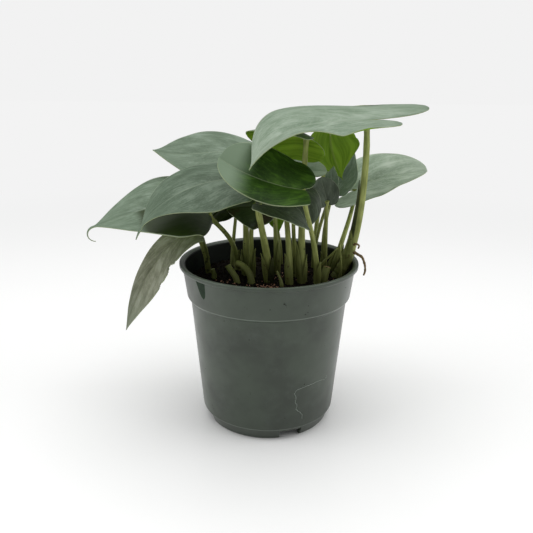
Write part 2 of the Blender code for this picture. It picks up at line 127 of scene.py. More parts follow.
def pattern(tree: bpy.types.NodeTree, place: Socket, scale: Point, detail: float = 3.0,
            roughness: float = 0.55) -> Socket:
    """Draw soft random flecks.

    Args:
        tree: the node tree.
        place: the socket of the place on the surface.
        scale: how many flecks there are to a unit of each direction.
        detail: how many finer layers they have.
        roughness: how strong those layers are.

    Returns:
        The socket of a level from 0 to 1.
    """
    stretched = add_node(tree, "Mapping", {"Vector": place, "Scale": scale})
    return add_node(tree, "TexNoise", {"Vector": stretched, "Scale": 1.0, "Detail": detail,
                                       "Roughness": roughness})


def tint(tree: bpy.types.NodeTree, colour: Socket | str, other: Socket | str, value: Socket,
         reach: Pair, amount: Pair = (0.0, 1.0)) -> Socket:
    """Blend a colour into another one as a value passes smoothly through a stretch.

    Args:
        tree: the node tree.
        colour: the colour to start from.
        other: the colour that comes in.
        value: the socket of the value.
        reach: where the stretch begins and ends.
        amount: the share of the other colour before and after it.

    Returns:
        The blended colour's socket.
    """
    share = add_node(tree, "MapRange", {0: value, 1: reach[0], 2: reach[1], 3: amount[0],
                                        4: amount[1]}, interpolation_type="SMOOTHSTEP")
    return add_node(tree, "Mix", {0: share, 6: colour, 7: other}, 2, data_type="RGBA")


def weighted_sum(tree: bpy.types.NodeTree, parts: Sequence[tuple[Socket, float]]) -> Socket:
    """Add up levels.

    Args:
        tree: the node tree.
        parts: each level's socket with its weight.

    Returns:
        The sum's socket.
    """
    total: Socket | float = 0.0
    for value, weight in parts:
        total = add_node(tree, "Math", {0: value, 1: weight, 2: total}, operation="MULTIPLY_ADD")
    return total


def distance_from(tree: bpy.types.NodeTree, value: Socket, middle: float) -> Socket:
    """How far a value is from a middle one, either way."""
    offset = add_node(tree, "Math", {0: value, 1: middle}, operation="SUBTRACT")
    return add_node(tree, "Math", {0: offset}, operation="ABSOLUTE")


def new_material(name: str) -> tuple[bpy.types.Material, bpy.types.NodeTree, bpy.types.Node]:
    """Start a material.

    Args:
        name: what the material shows.

    Returns:
        The material, its node tree and its Principled shader.
    """
    material = bpy.data.materials.new(name)
    material.use_nodes = True
    tree = material.node_tree
    return material, tree, tree.nodes["Principled BSDF"]


def mesh_piece(name: str, vertices: Sequence[Vector], faces: Sequence[Face],
               materials: Sequence[bpy.types.Material], origin: Vector) -> bpy.types.Object:
    """Make a smooth-shaded mesh object.

    Args:
        name: the piece's name.
        vertices: its points in millimetres around the pot's axis.
        faces: its faces, as numbers of points.
        materials: its materials, in the order of their slots.
        origin: the pot's axis in the frame.

    Returns:
        The object, linked to the scene.
    """
    mesh = bpy.data.meshes.new(name)
    mesh.from_pydata([(Vector(v) * MM + origin)[:] for v in vertices], [], faces)
    mesh.update()
    mesh.shade_smooth()
    for material in materials:
        mesh.materials.append(material)
    thing = bpy.data.objects.new(name, mesh)
    bpy.context.scene.collection.objects.link(thing)
    return thing


def set_uv(thing: bpy.types.Object, name: str, values: Sequence[Pair]) -> None:
    """Give a mesh a UV map.

    Args:
        thing: the mesh object.
        name: the map's name.
        values: one pair of values for each vertex.
    """
    layer = thing.data.uv_layers.new(name=name)
    flat: list[float] = []
    for loop in thing.data.loops:
        flat.extend(values[loop.vertex_index])
    layer.data.foreach_set("uv", flat)


# ---------------------------------------------------------------------------------------------
# Finishes
# ---------------------------------------------------------------------------------------------


@dataclass(frozen=True)
class LeafFinish:
    """The upper side of a scindapsus leaf: a waxy skin over silvery air cells.

    The silver lies in soft streaks that run with the curved parallel veins, so the eye reads the
    direction of growth. The midrib and the margin are a little paler, and the skin has a satin
    gloss. The silver fades or grows towards the tip, and a painted shadow can keep one half of
    the base deep green, where a leaf above shades it.
    """

    # How often each pattern repeats along and across 100 mm of the blade. The silver is made of
    # streaks 15 by 7 mm, threads 8 by 1.5 mm and clouds of 14 by 11 mm. Its flecks are cells of
    # 1 to 2 mm, and the stains of a blotched leaf are 11 mm apart.
    streaks = (6.5, 14.0, 1.0)
    threads = (13.0, 65.0, 1.0)
    clouds = (7.0, 9.0, 1.0)
    cells = (55.0, 90.0, 1.0)
    stains = (9.0, 9.0, 1.0)

    name: str
    silver: str = "#8d9f8c"
    green: str = "#72866f"
    deep: str = "#5a6f57"
    tip: str = "#7b8f78"
    tip_from: Pair = (0.55, 1.0)
    tip_amount: float = 0.5
    margin: str = "#a3b096"
    blotch: str = ""
    shadowed_half: str = ""
    roughness: float = 0.46
    specular: float = 0.45

    def make(self) -> bpy.types.Material:
        """Build the material.

        Returns:
            The material.
        """
        material, tree, shader = new_material(self.name)
        blade = add_node(tree, "UVMap", uv_map="blade")
        edge = add_node(tree, "UVMap", uv_map="margin")
        share = add_node(tree, "SeparateXYZ", {0: edge})
        side = share.node.outputs[1]
        rib = distance_from(tree, side, 0.5)
        threads = pattern(tree, blade, self.threads, 2.0)
        level = weighted_sum(tree, (
            (pattern(tree, blade, self.streaks), 0.35),
            (threads, 0.25),
            (pattern(tree, blade, self.clouds, 4.0, 0.7), 0.4)))
        # Deep green runs into green up to half of the level, and that into silver.
        silvering = add_node(tree, "MapRange", {0: level, 1: 0.37, 2: 0.66},
                             interpolation_type="SMOOTHSTEP")
        greening = add_node(tree, "Math", {0: silvering, 1: 2.0}, operation="MULTIPLY")
        shine = add_node(tree, "Math", {0: greening, 1: 1.0}, operation="SUBTRACT")
        colour = add_node(tree, "Mix", {0: greening, 6: self.deep, 7: self.green}, 2,
                          data_type="RGBA")
        colour = add_node(tree, "Mix", {0: shine, 6: colour, 7: self.silver}, 2,
                          data_type="RGBA")
        flecks = pattern(tree, blade, self.cells, 3.0, 0.7)
        colour = tint(tree, colour, self.silver, flecks, (0.52, 0.66), (0.0, 0.4))
        colour = tint(tree, colour, self.tip, share, self.tip_from, (0.0, self.tip_amount))
        colour = tint(tree, colour, self.margin, rib, (0.003, 0.012), (0.3, 0.0))
        if self.blotch:
            stains = pattern(tree, blade, self.stains, 4.0)
            colour = tint(tree, colour, self.blotch, stains, (0.5, 0.58), (0.0, 0.8))
        # Painted shadow: one half of the base turns deep green, as in the shade of the leaf
        # above.
        if self.shadowed_half:
            left = add_node(tree, "MapRange", {0: side, 1: 0.465, 2: 0.5, 3: 1.0, 4: 0.0},
                            interpolation_type="SMOOTHSTEP")
            base = add_node(tree, "MapRange", {0: share, 1: 0.58, 2: 0.66, 3: 1.0, 4: 0.0},
                            interpolation_type="SMOOTHSTEP")
            dark = add_node(tree, "Math", {0: left, 1: base}, operation="MULTIPLY")
            colour = add_node(tree, "Mix", {0: dark, 6: colour, 7: self.shadowed_half}, 2,
                              data_type="RGBA")
        colour = tint(tree, colour, self.margin, rib, (0.486, 0.498), (0.0, 0.7))
        sheen = add_node(tree, "MapRange", {0: threads, 1: 0.3, 2: 0.7, 3: self.roughness + 0.06,
                                            4: self.roughness - 0.05},
                         interpolation_type="SMOOTHSTEP")
        relief = add_node(tree, "Bump", {"Strength": 0.5, "Distance": 0.2 * MM, "Height": level})
        fill(shader, {"Base Color": colour, "Roughness": sheen, "IOR": 1.45,
                      "Specular IOR Level": self.specular, "Normal": relief})
        return material


@dataclass(frozen=True)
class UndersideFinish:
    """The plain green underside of a leaf, which glows yellow-green where light comes through.

    The eye sees a paler rib, and fine veins about 2.5 mm apart that slant out from it.
    """

    veins = (3.0, 40.0, 1.0)

    name: str
    light: str = "#84a62f"
    dark: str = "#65851b"
    rib: str = "#869a4a"
    glow: float = 0.35
    roughness: float = 0.55

    def make(self) -> bpy.types.Material:
        """Build the material.

        Returns:
            The material.
        """
        material, tree, shader = new_material(self.name)
        blade = add_node(tree, "UVMap", uv_map="blade")
        edge = add_node(tree, "UVMap", uv_map="margin")
        side = add_node(tree, "SeparateXYZ", {0: edge}, 1)
        veins = pattern(tree, blade, self.veins, 2.0)
        colour = tint(tree, self.dark, self.light, veins, (0.3, 0.7))
        rib = distance_from(tree, side, 0.5)
        colour = tint(tree, colour, self.rib, rib, (0.006, 0.03), (0.7, 0.0))
        relief = add_node(tree, "Bump", {"Strength": 0.5, "Distance": 0.12 * MM, "Height": veins})
        fill(shader, {"Base Color": colour, "Roughness": self.roughness, "IOR": 1.42,
                      "Specular IOR Level": 0.2, "Subsurface Weight": self.glow,
                      "Subsurface Radius": (0.6, 1.0, 0.2), "Subsurface Scale": MM,
                      "Normal": relief})
        return material


@dataclass(frozen=True)
class StemFinish:
    """Smooth olive stalk skin with long fibres, paler on its ridges.

    The stalk is darker towards the mix, and carries dark spots.
    """

    # Fibres 17 mm long and 1.1 mm wide, patches of 11 mm and dots of 2.4 mm.
    patches_per_m = 90.0
    dots_per_m = 420.0
    fibres = (6.0, 9.0, 1.0)
    foot_from_m = 0.094
    foot_to_m = 0.118

    name: str
    light: str = "#aab26a"
    dark: str = "#7a8446"
    foot: str = "#54592f"
    spots: str = "#2b2c14"
    spotting: float = 0.12
    roughness: float = 0.5

    def make(self) -> bpy.types.Material:
        """Build the material.

        Returns:
            The material.
        """
        material, tree, shader = new_material(self.name)
        run = add_node(tree, "UVMap", uv_map="run")
        place = add_node(tree, "TexCoord", out="Object")
        height = add_node(tree, "SeparateXYZ", {0: place}, 2)
        fibre = pattern(tree, run, self.fibres)
        patch = add_node(tree, "TexNoise", {"Vector": place, "Scale": self.patches_per_m,
                                            "Detail": 2.0, "Roughness": 0.55})
        level = weighted_sum(tree, ((fibre, 0.6), (patch, 0.4)))
        colour = tint(tree, self.dark, self.light, level, (0.36, 0.64))
        colour = tint(tree, colour, self.foot, height, (self.foot_from_m, self.foot_to_m),
                      (0.85, 0.0))
        dots = add_node(tree, "TexNoise", {"Vector": place, "Scale": self.dots_per_m,
                                           "Detail": 1.0, "Roughness": 0.55})
        spread = 0.3 * self.spotting
        colour = tint(tree, colour, self.spots, dots, (0.74 - spread, 0.8 - spread), (0.0, 0.7))
        relief = add_node(tree, "Bump", {"Strength": 0.7, "Distance": 0.12 * MM, "Height": fibre})
        fill(shader, {"Base Color": colour, "Roughness": self.roughness, "IOR": 1.42,
                      "Specular IOR Level": 0.3, "Normal": relief})
        return material


@dataclass(frozen=True)
class PlainFinish:
    """A plain surface in two mottled colours, with grains of a real size."""

    name: str
    light: str
    dark: str
    grain_mm: float
    roughness: float
    depth_mm: float = 0.1
    specular: float = 0.3

    def make(self) -> bpy.types.Material:
        """Build the material.

        Returns:
            The material.
        """
        material, tree, shader = new_material(self.name)
        place = add_node(tree, "TexCoord", out="Object")
        grain = add_node(tree, "TexNoise", {"Vector": place, "Scale": 1.0 / (self.grain_mm * MM),
                                            "Detail": 4.0, "Roughness": 0.65})
        colour = tint(tree, self.dark, self.light, grain, (0.3, 0.7))
        relief = add_node(tree, "Bump", {"Strength": 0.8, "Distance": self.depth_mm * MM,
                                         "Height": grain})
        fill(shader, {"Base Color": colour, "Roughness": self.roughness,
                      "Specular IOR Level": self.specular, "Normal": relief})
        return material


@dataclass(frozen=True)
class PotFinish:
    """Dark green injection-moulded polypropylene.

    A satin skin mirrors the bright room along the silhouette. It is faintly clouded by dust, and
    the moulded edges of the foot, the collar and the rim are worn to a thin pale line.
    """

    # Flecks to a metre, their finer layers and how strong those are: clouds 33 mm wide, grit of
    # 1 mm and patches of dust of 18 mm.
    clouds = (30.0, 3.0, 0.6)
    grit = (900.0, 2.0, 0.55)
    dusting = (55.0, 5.0, 0.7)

    name: str
    body: str = "#414c3f"
    shade: str = "#333b31"
    dust: str = "#59635a"
    worn: str = "#8b968a"
    roughness: float = 0.34

    def make(self, pot: "PotShape") -> bpy.types.Material:
        """Build the material.

        Args:
            pot: the pot's sizes, for the places of its worn edges.

        Returns:
            The material.
        """
        material, tree, shader = new_material(self.name)
        place = add_node(tree, "TexCoord", out="Object")
        height = add_node(tree, "SeparateXYZ", {0: place}, 2)
        cloud, grit, dust = (
            add_node(tree, "TexNoise", {"Vector": place, "Scale": scale, "Detail": detail,
                                        "Roughness": roughness})
            for scale, detail, roughness in (self.clouds, self.grit, self.dusting))
        colour = tint(tree, self.body, self.shade, cloud, (0.35, 0.7))
        colour = tint(tree, colour, self.dust, dust, (0.5, 0.8), (0.0, 0.3))
        # Painted shade: the lowest 14 mm of the wall are darker, towards the floor.
        colour = tint(tree, colour, self.shade, height, (0.0, 14.0 * MM), (0.6, 0.0))
        for level, width, amount in ((pot.foot_height, 0.45, 0.6), (pot.collar_bottom, 0.5, 0.6),
                                     (pot.height - 0.2, 0.5, 0.25), (0.3, 0.5, 0.5)):
            near = distance_from(tree, height, level * MM)
            colour = tint(tree, colour, self.worn, near, (0.0, width * MM), (amount, 0.0))
        sheen = add_node(tree, "MapRange", {0: cloud, 1: 0.35, 2: 0.75, 3: self.roughness - 0.04,
                                            4: self.roughness + 0.08},
                         interpolation_type="SMOOTHSTEP")
        texture = weighted_sum(tree, ((grit, 1.0), (cloud, 1.0)))
        relief = add_node(tree, "Bump", {"Strength": 0.3, "Distance": 0.04 * MM,
                                         "Height": texture})
        fill(shader, {"Base Color": colour, "Roughness": sheen, "IOR": 1.49, "Normal": relief})
        return material


class Tone(Enum):
    """Named leaf tones."""

    SILVER = "silver"
    PALE = "pale"
    CUP = "cup"
    DUSK = "dusk"
    BLOTCHED = "blotched"
    AGEING = "ageing"
    BRIGHT = "bright"
    HALF_SHADOWED = "half dark"
    DEEP = "deep"
    LIT = "lit"


class Palette:
    """Every material of the part, made once."""

    def __init__(self, pot: "PotShape") -> None:
        """Make the materials.

        Args:
            pot: the pot's sizes, for the places of its worn edges.
        """
        upper = {
            # Grey-green silver, as most leaves of the kind have.
            Tone.SILVER: LeafFinish("silver_leaf_upper_side"),
            # The same, with a painted shadow that keeps one half of its base deep green, where
            # the leaf above shades it.
            Tone.HALF_SHADOWED: LeafFinish("half_shadowed_leaf_upper_side", shadowed_half="#2c3d12"),
            # A darker, duller copy of the silver.
            Tone.DEEP: LeafFinish("darker_silver_leaf_upper_side", "#7a8c78", "#5e725c", "#475b44",
                                  "#6a7d67"),
            # Painted light: washed out where the light falls on it straight.
            Tone.LIT: LeafFinish("sunward_leaf_upper_side", "#b8c6b4", "#99ab95", "#7d9079",
                                 "#a6b5a1"),
            # Painted light: pale silver, as on a leaf in good light.
            Tone.PALE: LeafFinish("pale_silver_leaf_upper_side", "#a6b6a3", "#8c9f89", "#748a71",
                                  "#a3b09c", margin="#b4bfa9"),
            # Painted shade: deep green where the leaf above shades it, with a painted sheen of
            # silver towards the tip.
            Tone.CUP: LeafFinish("shaded_cup_leaf_upper_side", "#47691f", "#2a4710", "#1a3206",
                                 "#7f937a", (0.55, 0.85), 1.0, "#a9b394", roughness=0.5,
                                 specular=0.2),
            # Painted shade: darker, for leaves low in the plant, where little light comes.
            Tone.DUSK: LeafFinish("shaded_leaf_upper_side", "#5f6c5a", "#444f3d", "#313c2c",
                                  "#515d4c", margin="#8d977e"),
            # Dark green with red-brown stains.
            Tone.BLOTCHED: LeafFinish("blotched_leaf_upper_side", "#4a5a3a", "#354526", "#26351a",
                                      "#3c4c2c", margin="#7c8a62", blotch="#33231a"),
            # Greyish and dry, with an olive margin.
            Tone.AGEING: LeafFinish("ageing_leaf_upper_side", "#a3a694", "#868973", "#6c6f59",
                                    "#87927e", margin="#74803f", roughness=0.52),
            # Painted light: yellow-green, as light comes through it.
            Tone.BRIGHT: LeafFinish("bright_leaf_upper_side", "#8fa352", "#76903c", "#5f7a2c",
                                    "#86a04a", margin="#a9b878"),
        }
        self.upper = {tone: finish.make() for tone, finish in upper.items()}
        # Undersides: fresh green, dry olive on the ageing leaf, and a painted shade of nearly
        # black green for the undersides of leaves in shade.
        self.under = UndersideFinish("leaf_underside").make()
        self.ageing_under = UndersideFinish("ageing_leaf_underside", "#626c38", "#4b5628").make()
        self.painted_shade_under = UndersideFinish("shaded_leaf_underside", "#33421b", "#253212",
                                          "#4c5a2e", 0.1).make()
        # A pale thin edge lets the eye part one leaf from the next.
        self.margin = PlainFinish("leaf_margin", "#a9b58c", "#8c9c70", 2.0, 0.5, 0.02).make()
        # Green stalks, one of them speckled brown, in papery sheaths that brown as they dry.
        self.stem = StemFinish("olive_stalk").make()
        self.spotted_stem = StemFinish("spotted_stalk", spotting=0.5).make()
        self.sheath = StemFinish("leaf_sheath", "#929a5c", "#687139", "#5a5f30", "#4a3a1c",
                                 0.3, 0.55).make()
        self.dry_sheath = StemFinish("dry_leaf_sheath", "#4f582f", "#30381a", "#2b2d18",
                                     "#1c170c", 0.3, 0.6).make()
        # Corky buff skin tells a root from a stalk.
        self.root = PlainFinish("aerial_root_skin", "#8f7a56", "#5b4a2f", 0.8, 0.75, 0.12).make()
        # A matt tan face shows where a stem was cut and has dried.
        self.cut = PlainFinish("dry_cut_stem_end", "#bd957a", "#8f6a50", 0.5, 0.8, 0.15).make()
        # Nearly black peat, browner crumbs and pinkish bark give the mix its depth and grain.
        self.mix = PlainFinish("moist_peat", "#1c1511", "#070505", 0.9, 0.95, 0.5, 0.1).make()
        self.crumb = PlainFinish("peat_crumbs", "#281d16", "#0c0806", 0.7, 0.95, 0.2, 0.1).make()
        self.bark = PlainFinish("bark_chips", "#c49a84", "#7a5040", 0.8, 0.85, 0.15, 0.15).make()
        # Bent plastic whitens along a scratch.
        self.scratch = PlainFinish("scratched_plastic", "#a3ada3", "#828d83", 1.0, 0.6,
                                   0.02).make()
        # The outside is satin green. The inside is the same plastic in painted shade, nearly
        # black.
        self.pot = PotFinish("green_polypropylene").make(pot)
        self.pot_inside_painted_shade = PlainFinish("painted_shade_inner_plastic", "#141b15", "#0a0f0b", 9.0, 0.45,
                                      0.02, 0.2).make()
        # A dull dark green film stays where water runs over the rim.
        self.damp = PlainFinish("damp_algae_film", "#223523", "#182818", 3.0, 0.6, 0.02,
                                0.15).make()


# ---------------------------------------------------------------------------------------------
# The pot
# ---------------------------------------------------------------------------------------------


@dataclass(frozen=True)
class PotShape:
    """The nursery pot's sizes.

    lip_fillet is the height over which the collar turns out into the lip. foot_chamfer is the
    height of the step over the foot, and foot_lean how far the foot's inside leans out up to the
    floor. floor_curve is the width of the bevel between the floor and the wall, on the inside.
    """

    height: float = 106.0
    lip_radius: float = 57.0
    lip_width: float = 1.8
    lip_depth: float = 2.4
    lip_fillet: float = 0.9
    collar_top_radius: float = 54.9
    collar_bottom: float = 84.5
    collar_bottom_radius: float = 52.4
    collar_tuck: float = 2.2
    body_top_radius: float = 50.2
    body_bottom_radius: float = 43.4
    foot_height: float = 7.7
    foot_step: float = 0.8
    foot_chamfer: float = 0.5
    foot_bottom_radius: float = 39.6
    foot_thickness: float = 2.2
    foot_lean: float = 1.6
    floor_bottom: float = 6.0
    floor_top: float = 8.0
    floor_curve: float = 1.5
    wall: float = 1.5
    notches: int = 4
    notch_width: float = 14.0
    notch_height: float = 5.6
    notch_turn: float = 21.0
    drain_radius: float = 3.5
    drain_ring: float = 30.0
    edge_radius: float = 0.55
    segments: int = 180

    def notch_angle(self, number: int) -> float:
        """The direction of a notch and of the drain hole over it, in radians."""
        return math.radians(-90.0 + self.notch_turn + 360.0 * number / self.notches)

    def wall_radius(self, height: float) -> float:
        """The outer radius of the collar's or the body's slope.

        Args:
            height: the height over the foot.

        Returns:
            The radius.
        """
        if height >= self.collar_bottom:
            share = (height - self.collar_bottom) / (self.height - self.collar_bottom)
            return self.collar_bottom_radius + share * (self.collar_top_radius
                                                        - self.collar_bottom_radius)
        share = (height - self.foot_height) / (self.collar_bottom - self.foot_height)
        return self.body_bottom_radius + share * (self.body_top_radius - self.body_bottom_radius)

    def skin_radius(self, height: float) -> float:
        """The outer radius of the skin, whose slope ends under the lip.

        Args:
            height: the height over the foot.

        Returns:
            The radius.
        """
        if height < self.collar_bottom:
            return self.wall_radius(height)
        share = (height - self.collar_bottom) / (self.height - self.lip_depth - self.lip_fillet
                                                 - self.collar_bottom)
        return self.collar_bottom_radius + min(share, 1.0) * (self.collar_top_radius
                                                              - self.collar_bottom_radius)

    def inner_radius(self, height: float) -> float:
        """The inner radius.

        Args:
            height: the height over the foot, above the floor.

        Returns:
            The radius.
        """
        if height >= self.collar_bottom:
            return self.wall_radius(height) - self.wall
        share = (height - self.floor_top) / (self.collar_bottom - self.collar_tuck
                                             - self.floor_top)
        return (self.body_bottom_radius - self.wall + min(share, 1.0)
                * (self.body_top_radius - self.body_bottom_radius))

    def profile(self) -> list[Pair]:
        """The pot's section.

        Returns:
            Radius and height of its corners, from the axis under the floor, up the outside and
            down the inside.
        """
        tuck = self.collar_bottom - self.collar_tuck
        lip = self.height - self.lip_depth
        foot = self.foot_bottom_radius
        curve = self.floor_top + self.floor_curve
        return [
            (0.0, self.floor_bottom),
            (foot - self.foot_thickness + self.foot_lean, self.floor_bottom),
            (foot - self.foot_thickness, 0.0),
            (foot, 0.0),
            (self.body_bottom_radius - self.foot_step, self.foot_height - self.foot_chamfer),
            (self.body_bottom_radius, self.foot_height),
            (self.body_top_radius, tuck),
            (self.collar_bottom_radius, self.collar_bottom),
            (self.collar_top_radius, lip - self.lip_fillet),
            (self.lip_radius, lip + 0.1),
            (self.lip_radius, self.height),
            (self.lip_radius - self.lip_width, self.height),
            (self.inner_radius(self.height) - 0.2, self.height - 1.4),
            (self.inner_radius(self.collar_bottom), self.collar_bottom),
            (self.inner_radius(tuck), tuck),
            (self.inner_radius(curve), curve),
            (self.inner_radius(self.floor_top) - self.floor_curve, self.floor_top),
            (0.0, self.floor_top),
        ]


def rounded(profile: Sequence[Pair], radius: float, steps: int = 3) -> list[Pair]:
    """Round every corner of a section.

    Args:
        profile: the section's corners.
        radius: how far a round edge reaches from its corner at most.
        steps: the number of faces on it.

    Returns:
        The points of the rounded section.
    """
    points = [Vector(p) for p in profile]
    result = [points[0]]
    for before, corner, after in zip(points, points[1:], points[2:]):
        back = min(radius, 0.45 * (corner - before).length)
        ahead = min(radius, 0.45 * (after - corner).length)
        start = corner + (before - corner).normalized() * back
        end = corner + (after - corner).normalized() * ahead
        for step in range(steps + 1):
            t = step / steps
            result.append(start * (1 - t) ** 2 + corner * (2 * t * (1 - t)) + end * t * t)
    result.append(points[-1])
    return [(p[0], p[1]) for p in result]


class Pot:
    """The moulded pot with its foot notches, drain holes and small marks of use."""

    # The two stations on each side of a notch are this far apart, in radians.
    notch_side = 1e-6
    weld_m = 2e-8
    drill_depth = 8.0

    def __init__(self, shape: PotShape, palette: Palette, origin: Vector) -> None:
        """Keep what the pot is made from.

        Args:
            shape: the pot's sizes.
            palette: the materials.
            origin: the pot's axis in the frame.
        """
        self.shape = shape
        self.palette = palette
        self.origin = origin

    def build(self) -> list[bpy.types.Object]:
        """Build every piece of the pot.

        Returns:
            The pot, the damp mark on its collar, its scratches and the specks of mix on it.
        """
        pot = self._shell()
        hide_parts("pot")
        return [pot, self._damp_mark(), self._scratches(), self._specks()]

    def _stations(self) -> list[tuple[float, bool]]:
        """The places around the pot that have a section.

        Returns:
            The angles, each with whether it lies in a notch. A notch's side comes twice.
        """
        shape = self.shape
        half = math.asin(0.5 * shape.notch_width / (shape.foot_bottom_radius + 1.0))
        edges: list[tuple[float, bool]] = []
        centres = [shape.notch_angle(number) for number in range(shape.notches)]
        for centre in centres:
            edges += [(centre - half - self.notch_side, False), (centre - half, True),
                      (centre + half, True), (centre + half + self.notch_side, False)]
        full = 2.0 * math.pi
        stations = [(angle % full, inside) for angle, inside in edges]
        for step in range(shape.segments):
            angle = full * step / shape.segments
            away = min(abs((angle - c + math.pi) % full - math.pi) for c in centres)
            if abs(away - half) > 0.004:
                stations.append((angle, away < half))
        return sorted(stations)

    def _shell(self) -> bpy.types.Object:
        """The pot itself, with the foot's lowest part lifted where a notch is.

        Returns:
            The piece.
        """
        shape = self.shape
        profile = rounded(shape.profile(), shape.edge_radius)
        top = shape.notch_height
        foot = shape.foot_bottom_radius
        inner = foot - shape.foot_thickness + shape.foot_lean * top / shape.floor_bottom
        outer = foot + (shape.body_bottom_radius - shape.foot_step - foot) * top / (
            shape.foot_height - shape.foot_chamfer)
        low = [index for index, (_, height) in enumerate(profile) if height < top]
        lifted = list(profile)
        for order, index in enumerate(low):
            share = order / (len(low) - 1)
            lifted[index] = (inner + (outer - inner) * share, top)
        vertices: list[Vector] = []
        rings: list[list[int]] = []
        for angle, inside in self._stations():
            ring = []
            for radius, height in (lifted if inside else profile):
                ring.append(len(vertices))
                vertices.append(Vector((radius * math.cos(angle), radius * math.sin(angle),
                                        height)))
            rings.append(ring)
        faces = []
        for a, b in zip(rings, rings[1:] + rings[:1]):
            for row in range(len(profile) - 1):
                faces.append((a[row], b[row], b[row + 1], a[row + 1]))
        pot = mesh_piece("pot_shell", vertices, faces,
                         [self.palette.pot, self.palette.pot_inside_painted_shade], self.origin)
        rim = next(i for i, (r, z) in enumerate(profile)
                   if z < shape.height - 1.0 and r < shape.lip_radius - shape.lip_width
                   and i > len(profile) // 2)
        for face in pot.data.polygons:
            face.material_index = int(face.index % (len(profile) - 1) >= rim)
        weld_mesh(pot, self.weld_m)
        self._drill(pot)
        pot.data.set_sharp_from_angle(angle=math.radians(55.0))
        return pot

    def _drill(self, pot: bpy.types.Object) -> None:
        """Cut the drain holes through the floor.

        Args:
            pot: the pot's piece.
        """
        shape = self.shape
        middle = 0.5 * (shape.floor_bottom + shape.floor_top)
        cutters = []
        for number in range(shape.notches):
            angle = shape.notch_angle(number)
            bpy.ops.mesh.primitive_cylinder_add(
                vertices=40, radius=shape.drain_radius * MM, depth=self.drill_depth * MM,
                location=self.origin + Vector((math.cos(angle), math.sin(angle), 0.0))
                * shape.drain_ring * MM + Vector((0.0, 0.0, middle * MM)))
            cutter = bpy.context.active_object
            cutters.append(cutter)
            cut = pot.modifiers.new("drain", "BOOLEAN")
            cut.operation = "DIFFERENCE"
            cut.solver = "EXACT"
            cut.object = cutter
        settle(pot)
        for cutter in cutters:
            bpy.data.objects.remove(cutter)

    def _on_wall(self, turn: float, height: float, out: float) -> Vector:
        """A place on the pot's outside.

        Args:
            turn: the direction from the axis, in degrees from +X towards +Y.
            height: the height over the foot.
            out: how far the place stands off the skin.

        Returns:
            The place.
        """
        radius = self.shape.skin_radius(height) + out
        angle = math.radians(turn)
        return Vector((radius * math.cos(angle), radius * math.sin(angle), height))

    def _damp_mark(self) -> bpy.types.Object:
        """A dark wedge on the collar where water runs out over the rim.

        Returns:
            The piece.
        """
        middle, half, slant, narrowing = -137.5, 4.6, 1.5, 0.55
        top, depth, film = 102.8, 11.0, 0.04
        rows, columns = 10, 6
        vertices: list[Vector] = []
        for i in range(rows + 1):
            down = i / rows
            width = half * (1.0 - narrowing * down) * math.sqrt(max(0.0, 1.0 - down ** 6))
            for j in range(columns + 1):
                turn = middle + width * (2.0 * j / columns - 1.0) + slant * down
                vertices.append(self._on_wall(turn, top - depth * down, film))
        stride = columns + 1
        faces = [(i * stride + j + 1, i * stride + j, (i + 1) * stride + j,
                  (i + 1) * stride + j + 1) for i in range(rows) for j in range(columns)]
        return mesh_piece("collar_damp_mark", vertices, faces, [self.palette.damp], self.origin)

    def _scratches(self) -> bpy.types.Object:
        """Hairline scratches low on the wall, whitened like bent plastic.

        Returns:
            The piece.
        """
        hair, sides, steps = 0.14, 5, 5
        lines = (
            ((-39.0, 36.2), (-46.0, 37.4), (-54.0, 37.0), (-61.0, 36.6), (-67.5, 35.4),
             (-69.0, 33.0), (-67.4, 30.5), (-67.8, 27.0), (-66.0, 24.0), (-66.8, 21.5),
             (-63.0, 19.0), (-60.5, 16.4), (-60.8, 12.5)),
            ((-37.0, 38.5), (-36.6, 37.0), (-39.0, 36.2)),
            ((-42.0, 65.5), (-40.0, 69.0), (-37.5, 70.0), (-35.0, 66.5), (-33.0, 67.0),
             (-30.5, 68.5), (-28.5, 66.0), (-28.0, 61.0)),
        )
        dice = random.Random(4)
        vertices: list[Vector] = []
        faces: list[Face] = []
        for line in lines:
            dense = []
            for (turn, height), (turn_b, height_b) in zip(line, line[1:]):
                for step in range(steps):
                    t = step / steps
                    dense.append((turn + (turn_b - turn) * t + dice.uniform(-0.25, 0.25),
                                  height + (height_b - height) * t + dice.uniform(-0.2, 0.2)))
            points = [self._on_wall(turn, height, 0.01) for turn, height in dense]
            sweep(vertices, faces, points, lambda share: hair, sides)
        return mesh_piece("pot_scratches", vertices, faces, [self.palette.scratch], self.origin)

    def _specks(self) -> bpy.types.Object:
        """Specks of potting mix that cling to the collar and under it.

        Returns:
            The piece.
        """
        small_specks = 150
        dice = random.Random(11)
        vertices: list[Vector] = []
        faces: list[Face] = []
        places = [(-122.0, 83.2, 0.7), (-121.0, 80.6, 0.5), (-116.0, 81.6, 0.35),
                  (-80.5, 95.5, 0.5), (-79.5, 94.6, 0.4), (-66.0, 87.3, 0.45),
                  (-64.5, 88.6, 0.35), (-89.0, 92.0, 0.35), (-103.0, 71.0, 0.45),
                  (-61.0, 38.5, 0.45), (-118.0, 62.0, 0.3)]
        places += [(dice.uniform(-180.0, 180.0), dice.uniform(10.0, 101.0),
                    dice.uniform(0.12, 0.3)) for _ in range(small_specks)]
        for turn, height, size in places:
            add_crumb(vertices, faces, self._on_wall(turn, height, 0.05), size, dice, 0.5)
        return mesh_piece("pot_specks", vertices, faces, [self.palette.crumb], self.origin)


